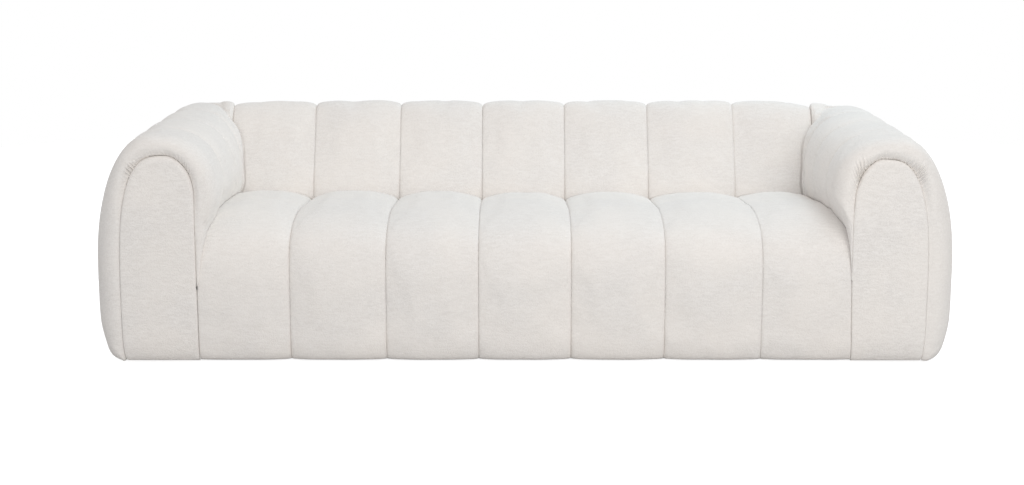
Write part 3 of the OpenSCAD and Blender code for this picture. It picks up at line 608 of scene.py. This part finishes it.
def back_pad(i):
    side = {0: -1, CHANNELS - 1: 1}.get(i, 0)
    # More places across, where an arm lies against the back
    close = np.linspace(0.02, 0.32, 36) if side < 0 else np.linspace(0.68, 0.98, 36)
    x, s = channel(i, BACK_DEEP, extra=close if side else ())
    crest, into = BACK_CREST, inward(BACK_CREST, 1)
    waves = Waves(BACK_SEED + i, 60, 160)
    d = s * back_draw(crest) + BACK_UNEVEN * (1 + waves(x[:, None], lengths(crest))) * (1 - s)
    if side:
        beside = beside_arm(side, x[:, None], crest[None, :, 1])
        beside[:, BACK_TOP:] = 0
        d = np.maximum(d, BESIDE_DEEP * beside)
    if side < 0:
        d = d + LEFT_DROP * ramp(crest[:, 1], *CROWN_Z)
    if side > 0:
        beside = ramp(x, HALF_IN - 130, HALF_IN - 10)[:, None]
        d = d + RIGHT_DROP + RIGHT_MORE * beside * ramp(crest[:, 1], 540, 630)
    outer = np.empty((len(x), len(crest), 3))
    outer[..., 0] = x[:, None]
    outer[..., 1:] = crest + into * d[..., None]
    outer[..., 1] += BACK_Y
    if side < 0:
        outer[..., 0] -= back_seam_out(crest[:, 1]) * (1 - ramp(x, -HALF_IN, -HALF_IN + 90))[:, None]
    # The foot of the face comes down to the seat, into its seams as well
    near = 1 - ramp(crest[:, 1], SEAT_BACK_Z - 10, SEAT_BACK_Z + 70)
    near[BACK_TOP:] = 0
    for column in outer:
        column[:, 2] += (seat_top(i, column[0, 0], column[0, 1]) - column[0, 2]) * near
    inner = back_inner() + [BACK_Y, 0]
    walls = np.stack([np.column_stack([np.full(len(inner), v), inner]) for v in (x[0], x[-1])])
    if side < 0:
        walls[0, :, 0] -= back_seam_out(inner[:, 1])
    free = clear_of_arm(outer) * (1 - 0.6 * ramp(outer[..., 2], 590, 640))
    pad = closed_pad("back_pad_%d" % (i + 1), outer, walls, free)
    return finish_pad(pad, "back_channel_%d" % (i + 1), "boucle_cover")


# Arms

def arm_lift(line, y):
    """Points of an arm's section at a depth y."""
    return np.column_stack([HALF_IN + line[:, 0], np.full(len(line), y), line[:, 1]])


def inner_face(line):
    """1 on an arm's inner face above the seat, and 0 below it and from the ridge outward."""
    share = ramp(line[:, 1], *ARM_LOWER_Z) * (1 - ramp(line[:, 1], *FACE_TOP_Z))
    share[int(np.argmax(line[:, 1])):] = 0
    return share


def corner_draw(crest):
    """How far a corner is drawn in at its mitre: less on the inner face, where it lies against the back."""
    low = 1 - ramp(crest[:, 1], *MITRE_Z)
    low[int(np.argmax(crest[:, 1])):] = 0
    return CORNER_DRAW * (1 - MITRE_LESS * low)


def touch(side, s, y):
    """Height of the seat under a point of an arm."""
    return seat_top(CHANNELS - 1 if side > 0 else 0, side * (HALF_IN + s), y)


# Places on an arm's underside from its inside plane to its foot, as shares, with the plane's lower end first
UNDER_SHARES = np.array([0, 0, 0.12, 0.28, 0.44, 0.60, 0.76, 0.90])
# Height over its foot within which an arm's face is brought to the seat
FOOT_BLEND = 70.0


def rest_on_seat(side, s, y, z, low=ARM_LOW_Z):
    """A ring of an arm with its inner foot added down to low, and its face brought to the seat.
    s, y and z are its points."""
    near = 1 - ramp(z, z[0], z[0] + FOOT_BLEND)
    near[int(np.argmax(z)):] = 0
    z = z + (touch(side, s[0], y[0]) - z[0]) * near
    foot_s = CLR + (s[0] - CLR) * UNDER_SHARES
    foot_y = np.full(len(foot_s), y[0])
    foot_z = np.array([touch(side, v, y[0]) for v in foot_s])
    foot_z[0] = low
    return np.column_stack([HALF_IN + np.append(foot_s, s), np.append(foot_y, y), np.append(foot_z, z)])


def under_tuck(z):
    """How far a front foot is tucked in at a height, as a share of its whole tuck."""
    t = np.clip((FRONT_TUCK_Z - np.asarray(z, float)) / (FRONT_TUCK_Z - FOOT_Z), 0, 1)
    return 1 - np.sqrt(1 - t * t)


def arm_wall(side, y, n):
    """The inner wall of an arm's pad at a depth y."""
    return arm_lift(even(arm_points(side, ARM_PAD_T, y, tuck=HAIR, end_z=PAD_LOW), n), y)


def arm_bay(k, side, name, node):
    waves = Waves(ARM_SEED + 10 * k + (side > 0), 60, 150)
    slim = SLIM[side > 0] * (k == BAYS - 1)
    y0, y1 = FRONT_Y + k * BAY_L + SEAM_GAP, FRONT_Y + (k + 1) * BAY_L - SEAM_GAP
    rings = []
    for v in shares(27):
        y = y0 + v * (y1 - y0)
        crest = arm_crest(side, y)
        d = arm_draw(side, crest) * puff(v) + ARM_UNEVEN * (1 + waves(y, lengths(crest))) * (1 - sag(v))
        p = crest + inward(crest, 1) * np.reshape(d, (-1, 1))
        p[:, 0] += slim * float(ramp(v, 0, 1)) * inner_face(crest)
        rings.append(rest_on_seat(side, p[:, 0], np.full(len(p), y), p[:, 1]))
    outer = np.stack(rings)
    walls = np.stack([arm_wall(side, y, outer.shape[1]) for y in (y0, y1)])
    return side_pad(side, name, node, outer, walls)


def bump_at(x, centre, half):
    """1 at the centre, falling to 0 a few halves away."""
    return np.exp(-((np.asarray(x, float) - centre) / half) ** 2)


# Gathers of the cover round a front panel: place along its edge from the crest, reach, and depth. Left,
# then right
GATHERS = (((-76, 20, 2.0), (104, 17, 3.0)), ((-74, 26, 3.0), (106, 27, 3.0)))


def resampled(line, places):
    at = lengths(line)
    return np.column_stack([np.interp(places * at[-1], at, line[:, k]) for k in range(2)])


def arm_front(side, name, node):
    n = FRONT_N
    y1 = FRONT_Y + BAY_L - SEAM_GAP
    # Points lie closer together round the arch
    t = np.linspace(0, 1, 2000)
    density = np.cumsum(1 + ARCH_MORE * bump_at(t, ARCH_AT, ARCH_HALF))
    places = np.interp(np.linspace(0, 1, n), (density - density[0]) / (density[-1] - density[0]), t)
    full = resampled(smooth(even(arm_points(side, 0, FRONT_Y + ROLL_L, 5), n), ROUND), places)
    edge = resampled(smooth(even(panel_points(side, 0, FRONT_Y + ROLL_SEAM), n), 4), places)
    # How far round the arch a point lies: 1 over the arch, 0 down the straight sides
    arch = ramp(edge[:, 1], 380, PANELS[side > 0][2] - 30)
    roll_l = ROLL_L + ROLL_MORE * ramp(full[:, 0], ARM_RIDGE - 40, ARM_W - 30)
    phi0 = np.radians(-ROLL_START - ROLL_ARCH * arch)
    front_t = 4.0
    seam_t = SEAM_T + SEAM_ARCH_T * arch + (0 if side > 0 else 3 * (1 - arch))
    out_way = (full - edge) / np.maximum(np.hypot(*(full - edge).T), 1)[:, None]
    # Gathers round the arch, strongest on its shoulders
    arc = lengths(edge)
    crest_at = arc[int(np.argmax(edge[:, 1]))]
    wander = Waves(GATHER_SEED + (side > 0), 35, 90)
    phase = 2 * np.pi * arc / GATHER_L + 3.0 * wander(arc, 0)
    strength = (0.35 if side < 0 else 0.9) * arch
    for place, reach, deep in GATHERS[side > 0]:
        strength = strength + deep * bump_at(arc, crest_at + place, reach)
    strength *= 1 + 0.6 * wander(arc * 0.7, 40)
    fade = 0.36 if side < 0 else 0.52
    waves = Waves(FRONT_SEED + (side > 0), 50, 150)
    rings = []
    for v in shares(26, 0.3):
        phi = phi0 + v * (np.pi / 2 - phi0)
        out = (np.sin(phi) - np.sin(phi0)) / (1 - np.sin(phi0))
        back = np.where(phi > 0, front_t + (roll_l - front_t) * (1 - np.cos(phi)),
                        front_t + (seam_t - front_t) * (1 - np.cos(phi)) / (1 - np.cos(phi0)))
        ends = ramp(v, -0.04, 0.05) * (1 - ramp(v + 0.07 * wander(arc, 90), 0.4 * fade, fade))
        fold = strength * ends * np.sin(phase)
        p = edge + (full - edge) * out[:, None] + out_way * (fold * np.sin(phi))[:, None]
        tuck = PANEL_TUCK * under_tuck(edge[:, 1]) * (1 - out)
        y = FRONT_Y + back + tuck - fold * np.cos(phi)
        # A left arm's foot fills the slot between the panel and the seat in front
        fill = SLOT_FILL * (1 - float(ramp(y[0], FRONT_Y + SLOT_FROM, FRONT_Y + SLOT_TO))) if side < 0 else 0
        rings.append(rest_on_seat(side, p[:, 0], y, p[:, 1], ARM_LOW_Z - fill))
    for v in shares(20, 0.4)[1:]:
        y = FRONT_Y + roll_l + v * (y1 - FRONT_Y - roll_l)
        crest = resampled(arm_crest(side, float(y[0]), 5 * (1 - float(ramp(v, 0, 0.6))), n), places)
        u = 0.5 + 0.5 * v
        uneven = ARM_UNEVEN * (1 + waves(y, lengths(crest))) * (1 - sag(u)) * ramp(v, 0, 0.3)
        p = crest + inward(crest, 1) * np.reshape(arm_draw(side, crest) * puff(u) + uneven, (-1, 1))
        rings.append(rest_on_seat(side, p[:, 0], y, p[:, 1]))
    n = len(rings[0])
    walls = [arm_lift(even(panel_points(side, inset, FRONT_Y + ROLL_SEAM, PAD_LOW), n), FRONT_Y + t)
             for inset, t in FRONT_WALLS]
    return side_pad(side, name, node, np.stack(rings), np.stack(walls + [arm_wall(side, y1, n)]))


# The mitre bows to the rear, most at this distance outward
MITRE_BOW_S = 65.0


def mitre(s):
    """Depth behind the back's front line at which a corner's mitre lies, by distance outward."""
    s = np.maximum(s, 0)
    return s + MITRE_BOW * s / MITRE_BOW_S * np.exp(1 - s / MITRE_BOW_S) * (1 - (s / ARM_W) ** 2)


def mitre_s(t):
    s = np.linspace(0, ARM_W, 400)
    return np.interp(t, mitre(s), s)


def corner_section(side, v):
    """Section of an arm where it turns the corner, v of the way to the mitre."""
    crest = arm_crest(side, BACK_Y, 4 * float(ramp(v, 0, 0.8)))
    crest[:, 0] += (SLIM[side > 0] + SLIM_MORE[side > 0] * float(ramp(v, 0, 0.5))) * inner_face(crest)
    return crest


def arm_corner(side, name, node):
    waves = Waves(ARM_CORNER_SEED + (side > 0), 60, 150)

    def placed(p, v):
        end = np.maximum(np.maximum(3, mitre(p[:, 0])), back_face(p[:, 1]) - CLR) - SEAM_GAP
        return np.column_stack([HALF_IN + p[:, 0], BACK_Y + SEAM_GAP + v * (end - SEAM_GAP), p[:, 1]])

    rings = []
    for v in shares(29):
        crest = corner_section(side, v)
        draw = arm_draw(side, crest) * puff(v) if v < 0.5 else corner_draw(crest) * sag(v)
        d = draw + ARM_UNEVEN * (1 + waves(v * CORNER_L, lengths(crest))) * (1 - sag(v))
        p = placed(crest + inward(crest, 1) * np.reshape(d, (-1, 1)), v)
        rings.append(rest_on_seat(side, p[:, 0] - HALF_IN, p[:, 1], p[:, 2]))
    p = even(arm_points(side, CORNER_PAD_T, BACK_Y, tuck=HAIR, end_z=PAD_LOW), len(rings[0]))
    walls = [placed(p, v) for v in (0, 0.5, 1)]
    free = 1 - ramp(shares(len(rings)), 0.5, 0.85)[:, None]
    return side_pad(side, name, node, np.stack(rings), np.stack(walls), free)


def back_corner(side, name, node):
    waves = Waves(BACK_CORNER_SEED + (side > 0), 60, 150)

    # From the back's own section at its seam to the arm's section at the mitre, each also as drawn in there
    near, far = BACK_CREST, corner_section(side, 1)
    into = inward(near, 1)
    drawn = near + into * back_draw(near)[:, None]
    near_x = SEAM_GAP + (back_seam_out(near[:, 1]) if side < 0 else np.zeros(len(near)))

    def at_mitre(p):
        t = np.maximum(np.maximum(3, mitre(p[:, 0])), back_face(p[:, 1])) + SEAM_GAP
        return np.column_stack([np.maximum(3, p[:, 0]), t, p[:, 1]])

    a, a_drawn = np.column_stack([near_x, near]), np.column_stack([near_x, drawn])
    b, b_drawn = at_mitre(far), at_mitre(far + inward(far, 1) * corner_draw(far)[:, None])
    rings = []
    for v in shares(27):
        p = a + (b - a) * v + float(sag(v)) * ((a_drawn - a) if v < 0.5 else (b_drawn - b))
        lower = (4 if side < 0 else 8) * ramp(near[:, 1], 560, 650)
        swell = ARM_UNEVEN * (1 + waves(v * CORNER_L, lengths(near))) + lower
        p[:, 1:] += into * (swell * (1 - float(sag(v))))[:, None]
        rings.append(p + [HALF_IN, BACK_Y, 0])
    p = back_inner(BACK_CORNER_PAD_T)
    across = np.maximum(3, mitre_s(p[:, 0])) - 2 * SEAM_GAP
    walls = [np.column_stack([HALF_IN + SEAM_GAP + v * across, BACK_Y + p[:, 0], p[:, 1]]) for v in (0, 1)]
    return side_pad(side, name, node, np.stack(rings), np.stack(walls))


# Front panels

PANEL_N = 220
# Rings of points inside a panel's rim, by distance from it, and then a grid of triangles within them
RIM_RINGS = (0.3, 1.0, 2.2, 4.0, 6.5, 11.0)
GRID_STEP, GRID_IN = 8.0, 15

def panel_loop(side, inset, n=PANEL_N):
    """The panel's closed outline: up its inner side, over the arch and down its outer side."""
    s, z0 = PANEL_IN + inset, FOOT_Z + inset / 2
    line = panel_edge(side, inset, [[s, z0]], (PANELS[side > 0][0] - inset - 8, z0))
    return even(np.vstack([line, [[s, z0]]]), n + 1)[:-1]


def front_panel(side, name, node):
    n = PANEL_N
    rim = panel_loop(side, RIM_RINGS[0])
    a, b = rim, np.roll(rim, -1, axis=0)

    def distance(p):
        t = np.clip(((p - a) * (b - a)).sum(1) / np.maximum(((b - a) ** 2).sum(1), 1e-9), 0, 1)
        return np.hypot(*((a + (b - a) * t[:, None]) - p).T).min()

    def within(p):
        cross = (a[:, 1] > p[1]) != (b[:, 1] > p[1])
        rise = np.where(b[:, 1] == a[:, 1], 1e-9, b[:, 1] - a[:, 1])
        x = a[:, 0] + (p[1] - a[:, 1]) * (b[:, 0] - a[:, 0]) / rise
        return (cross & (p[0] < x)).sum() % 2 == 1

    rings = [panel_loop(side, d) for d in RIM_RINGS]
    inside = []
    for row, z in enumerate(np.arange(rim[:, 1].min() + 12, rim[:, 1].max(), GRID_STEP * 0.866)):
        for s in np.arange(rim[:, 0].min() + (row % 2) * GRID_STEP / 2, rim[:, 0].max(), GRID_STEP):
            p = np.array([s, z])
            if within(p) and distance(p) > GRID_IN:
                inside.append(p)
    loop = [(i, (i + 1) % n) for i in range(n)]
    core, _, tris, *_ = delaunay_2d_cdt([Vector(p) for p in [*rings[-1], *inside]], loop, [], 1, 1e-6)
    flat = np.vstack(rings[:-1] + [np.array([[p[0], p[1]] for p in core])])
    away = np.array([distance(p) for p in flat])
    waves = Waves(PANEL_SEED + (side > 0), 60, 170)
    # Depth behind the front plane: rounded at the rim, recessed a little under the arch, crowned in the
    # middle
    arch = ramp(flat[:, 1], 380, PANELS[side > 0][2] - 20)
    rim_t = SEAM_T - 1 + (SEAM_ARCH_T - 2) * arch + (0 if side > 0 else 4 * (1 - arch))
    level = 1.0 + 5.0 * arch
    turn = np.sqrt(np.clip(1 - (1 - np.clip(away / (6 + 5 * arch), 0, 1)) ** 2, 0, 1))
    uneven = PANEL_UNEVEN * (1 + waves(flat[:, 0], flat[:, 1]))
    depth = rim_t + (level - rim_t) * turn + 1.4 * (1 - ramp(away, 0, 90)) + uneven
    depth += PANEL_TUCK * under_tuck(flat[:, 1])
    front = np.column_stack([HALF_IN + flat[:, 0], FRONT_Y + depth, flat[:, 1]])
    rows = []
    for inset, t in ((0.3, ROLL_SEAM + 9), (8, ROLL_SEAM + 10), (8, PANEL_T)):
        p = panel_loop(side, inset)
        t = np.maximum(t, SEAM_T + 6 + PANEL_TUCK * under_tuck(p[:, 1])) if t < PANEL_T else np.full(n, t)
        rows.append(np.column_stack([HALF_IN + p[:, 0], FRONT_Y + t, p[:, 1]]))
    points = np.vstack([front] + rows)
    last = (len(rings) - 1) * n
    faces = [[i + last for i in t] for t in tris]

    def band(first, second):
        return [[first + i, first + (i + 1) % n, second + (i + 1) % n, second + i] for i in range(n)]

    for k in range(len(rings) - 1):
        faces += band(k * n, (k + 1) * n)
    m = len(front)
    for first, second in ((0, m), (m, m + n), (m + n, m + 2 * n)):
        faces += band(first, second)
    faces.append([m + 2 * n + i for i in range(n)])
    if side < 0:
        points = mirrored(points)
    return finish_pad(make(name, points, faces), node, "boucle_panel")


# Materials

class Nodes:
    """Short calls for building the nodes of a new material or world."""

    def __init__(self, owner, output="OutputMaterial"):
        self.owner = owner
        owner.use_nodes = True
        self.tree = owner.node_tree
        self.tree.nodes.clear()
        self.out = self.tree.nodes.new("ShaderNode" + output)

    def add(self, kind, inputs=None, **settings):
        node = self.tree.nodes.new("ShaderNode" + kind)
        for key, value in settings.items():
            setattr(node, key, value)
        for key, value in (inputs or {}).items():
            self.put(node.inputs[key], value)
        return node

    def put(self, socket, value):
        if isinstance(value, bpy.types.Node):
            value = next(o for o in value.outputs if o.enabled)
        if isinstance(value, bpy.types.NodeSocket):
            self.tree.links.new(value, socket)
        else:
            socket.default_value = value

    def maths(self, operation, a, b=0.0, c=0.0):
        return self.add("Math", {0: a, 1: b, 2: c}, operation=operation)

    def ramp(self, value, low, high, a=0.0, b=1.0):
        ends = {"Value": value, "From Min": low, "From Max": high, "To Min": a, "To Max": b}
        return self.add("MapRange", ends, interpolation_type="SMOOTHSTEP")

    def blend(self, share, a, b):
        node = self.add("Mix", data_type="RGBA")
        self.put(node.inputs[0], share)
        self.put(node.inputs[6], a)
        self.put(node.inputs[7], b)
        return node.outputs[2]

    def surface(self, shader):
        self.put(self.out.inputs["Surface"], shader)
        return self.owner


def rgb(r, g, b):
    return (r, g, b, 1.0)


def boucle(name, light, dark, deep=0.0014):
    """Looped cream cloth: small loops, and short wavy rows that run across the cloth, with painted shade in
    the low parts.
    """
    n = Nodes(bpy.data.materials.new(name))
    place = n.add("TexCoord").outputs["Object"]
    normal = n.add("NewGeometry").outputs["Normal"]
    part = n.add("SeparateXYZ", {0: normal})
    side = n.ramp(n.maths("ABSOLUTE", part.outputs["X"]), 0.55, 0.85)
    warp = n.add("TexNoise", {"Vector": place, "Scale": 55.0, "Detail": 1.0})
    bent = n.add("VectorMath", {0: warp.outputs["Color"], 1: (0.012, 0.012, 0.012)}, operation="MULTIPLY")
    moved = n.add("VectorMath", {0: place, 1: bent}, operation="ADD")

    def rows(scale):
        stretched = n.add("Mapping", {"Vector": moved.outputs[0], "Scale": scale})
        return n.add("TexNoise", {"Vector": stretched, "Scale": 1.0, "Detail": 2.0, "Roughness": 0.55})

    across = rows((38.0, 165.0, 165.0))
    along = rows((165.0, 38.0, 165.0))
    wavy = n.add("Mix", {0: side, 2: across, 3: along}, data_type="FLOAT").outputs[0]
    loops = n.add("TexVoronoi", {"Vector": moved.outputs[0], "Scale": 330.0, "Randomness": 1.0},
                  feature="SMOOTH_F1")
    loop_top = n.ramp(loops.outputs["Distance"], 0.15, 0.75, 1.0, 0.0)
    fuzz = n.add("TexNoise", {"Vector": place, "Scale": 900.0, "Detail": 3.0})
    height = n.maths("MULTIPLY_ADD", wavy, 0.9, n.maths("MULTIPLY_ADD", loop_top, 0.30,
                                                         n.maths("MULTIPLY", fuzz, 0.12)))
    # Painted shade: the colour darkens from the tops of the loops and rows down into their hollows
    painted_hollow_shade = n.ramp(height, 0.30, 1.05)
    broad = n.add("TexNoise", {"Vector": place, "Scale": 6.0, "Detail": 2.0})
    base = n.blend(painted_hollow_shade, dark, light)
    tint = n.blend(n.ramp(broad, 0.3, 0.7, 0.0, 0.35), base, rgb(0.93, 0.885, 0.84))
    bump = n.add("Bump", {"Strength": 0.7, "Distance": deep, "Height": height})
    shader = n.add("BsdfPrincipled", {
        "Base Color": tint, "Roughness": 0.95, "Specular IOR Level": 0.2, "Sheen Weight": 0.25,
        "Sheen Roughness": 0.6, "Sheen Tint": rgb(1.0, 0.98, 0.95), "Normal": bump})
    return n.surface(shader)


def simple(name, light, dark, rough, scale=60.0, metal=0.0, stretch=(1.0, 1.0, 1.0), bump=0.0003):
    """A plain stuff with grain: colour, roughness and bump from one stretched noise."""
    n = Nodes(bpy.data.materials.new(name))
    place = n.add("TexCoord").outputs["Object"]
    stretched = n.add("Mapping", {"Vector": place, "Scale": stretch})
    grain = n.add("TexNoise", {"Vector": stretched, "Scale": scale, "Detail": 4.0, "Roughness": 0.6})
    fine = n.add("TexNoise", {"Vector": stretched, "Scale": scale * 7, "Detail": 2.0})
    both = n.maths("MULTIPLY_ADD", fine, 0.35, n.maths("MULTIPLY", grain, 0.65))
    colour = n.blend(n.ramp(both, 0.3, 0.7), dark, light)
    shader = n.add("BsdfPrincipled", {
        "Base Color": colour, "Roughness": n.ramp(both, 0.3, 0.7, rough - 0.08, rough + 0.05),
        "Metallic": metal, "Normal": n.add("Bump", {"Strength": 0.6, "Distance": bump, "Height": both})})
    return n.surface(shader)


materials = {
    "boucle_cover": boucle("boucle_cover", rgb(0.885, 0.862, 0.842), rgb(0.80, 0.772, 0.748)),
    "boucle_panel": boucle("boucle_panel", rgb(0.905, 0.882, 0.862), rgb(0.785, 0.757, 0.733), 0.0017),
    "foam": simple("foam", rgb(0.90, 0.82, 0.60), rgb(0.80, 0.70, 0.46), 0.9, 180.0, bump=0.0008),
    "felt": simple("felt", rgb(0.42, 0.42, 0.43), rgb(0.24, 0.24, 0.25), 0.95, 300.0, bump=0.0006),
    "spring_steel": simple("spring_steel", rgb(0.34, 0.35, 0.37), rgb(0.20, 0.20, 0.22), 0.42, 120.0, 1.0),
    "zinc_steel": simple("zinc_steel", rgb(0.66, 0.67, 0.69), rgb(0.50, 0.51, 0.54), 0.36, 160.0, 1.0),
    "plywood": simple("plywood", rgb(0.72, 0.56, 0.36), rgb(0.55, 0.39, 0.22), 0.6, 14.0,
                      stretch=(1, 1, 12)),
    "rail_wood": simple("rail_wood", rgb(0.78, 0.62, 0.40), rgb(0.62, 0.44, 0.25), 0.55, 10.0,
                        stretch=(1, 8, 10)),
    "hardboard": simple("hardboard", rgb(0.34, 0.21, 0.12), rgb(0.22, 0.13, 0.07), 0.5, 200.0),
    "webbing": simple("webbing", rgb(0.10, 0.10, 0.11), rgb(0.04, 0.04, 0.045), 0.9, 120.0,
                      stretch=(6, 1, 1)),
    "glide_plastic": simple("glide_plastic", rgb(0.030, 0.030, 0.032), rgb(0.018, 0.018, 0.020), 0.45, 90.0,
                            bump=0.0001),
    "dust_cloth": simple("dust_cloth", rgb(0.035, 0.035, 0.038), rgb(0.015, 0.015, 0.017), 0.95, 400.0),
}

# Pieces

for i in range(CHANNELS):
    seat_pad(i)
    back_pad(i)
for side, word in ((-1, "left"), (1, "right")):
    arm_front(side, "arm_front_pad_" + word, "arm_front_" + word)
    arm_bay(1, side, "arm_middle_pad_" + word, "arm_middle_" + word)
    arm_bay(2, side, "arm_rear_pad_" + word, "arm_rear_" + word)
    arm_corner(side, "arm_corner_pad_" + word, "arm_corner_" + word)
    back_corner(side, "back_corner_pad_" + word, "back_corner_" + word)
    front_panel(side, "front_panel_pad_" + word, "front_panel_" + word)

inflate()

slot_of = {row["node"]: row["material_slot"] for row in frame["record"]["subparts"]}
for name, obj in frame["nodes"].items():
    obj.data.materials.clear()
    obj.data.materials.append(materials[slot_of[name]])

# Floor, lights and camera

# How bright the floor shows to the camera, and how bright the dome lights the sofa
FLOOR_GLOW, DOME_LIGHT = 0.85, 0.622


def background_rays(n):
    """1 for the rays that see the white background: from the camera, in gloss and through glass."""
    path = n.add("LightPath")
    bent = n.maths("MAXIMUM", path.outputs["Is Glossy Ray"], path.outputs["Is Transmission Ray"])
    return n.maths("MAXIMUM", path.outputs["Is Camera Ray"], bent)


def floor_material():
    """Pale floor that shows white to the camera and keeps the sofa's shadow."""
    n = Nodes(bpy.data.materials.new("floor"))
    diffuse = n.add("BsdfDiffuse", {"Color": rgb(0.62, 0.62, 0.62), "Roughness": 0.5})
    strength = n.maths("MULTIPLY", background_rays(n), FLOOR_GLOW)
    glow = n.add("Emission", {"Color": rgb(1, 1, 1), "Strength": strength})
    return n.surface(n.add("AddShader", {0: diffuse, 1: glow}))


bpy.ops.mesh.primitive_circle_add(vertices=96, radius=4.6, fill_type="NGON", location=(0, 0, 0))
floor = bpy.context.object
floor.name = "floor"
floor.data.materials.append(floor_material())

world = bpy.data.worlds.new("studio")
bpy.context.scene.world = world
sky = Nodes(world, "OutputWorld")
dome = sky.add("Background", {"Color": rgb(1.0, 0.99, 0.99), "Strength": DOME_LIGHT})
white = sky.add("Background", {"Color": rgb(1, 1, 1), "Strength": 1.0})
sky.surface(sky.add("MixShader", {0: background_rays(sky), 1: dome, 2: white}))


def lamp(name, place, aim, size, power, colour):
    data = bpy.data.lights.new(name, "AREA")
    data.shape = "DISK"
    data.size = size
    data.energy = power
    data.color = colour
    obj = bpy.data.objects.new(name, data)
    obj.location = place
    obj.rotation_euler = (Vector(aim) - Vector(place)).to_track_quat("-Z", "Y").to_euler()
    bpy.context.scene.collection.objects.link(obj)
    return obj


LAMP_AIM = (0, 0, 0.3)
lamp("key", (1.25, -5.1, 2.5), LAMP_AIM, 4.2, 113.0, (1.0, 0.973, 0.934))
lamp("top", (1.6, 1.4, 3.0), LAMP_AIM, 2.0, 29.0, (0.665, 0.885, 1.0))

# The camera fitted to the photo: its focal length in the photo's pixels, its place and its tilt
PHOTO_W, FOCAL_PX, SENSOR_W = 1024, 1713, 36.0
CAMERA_AT, CAMERA_TILT = (-0.037, -5.0765, 1.287), 78.53
camera = bpy.data.objects.new("camera", bpy.data.cameras.new("camera"))
bpy.context.scene.collection.objects.link(camera)
camera.data.sensor_width = SENSOR_W
camera.data.lens = SENSOR_W * FOCAL_PX / PHOTO_W
camera.location = CAMERA_AT
camera.rotation_euler = (math.radians(CAMERA_TILT), 0, 0)
camera.data.clip_end = 60
bpy.context.scene.camera = camera
bpy.context.scene.view_settings.view_transform = "Standard"
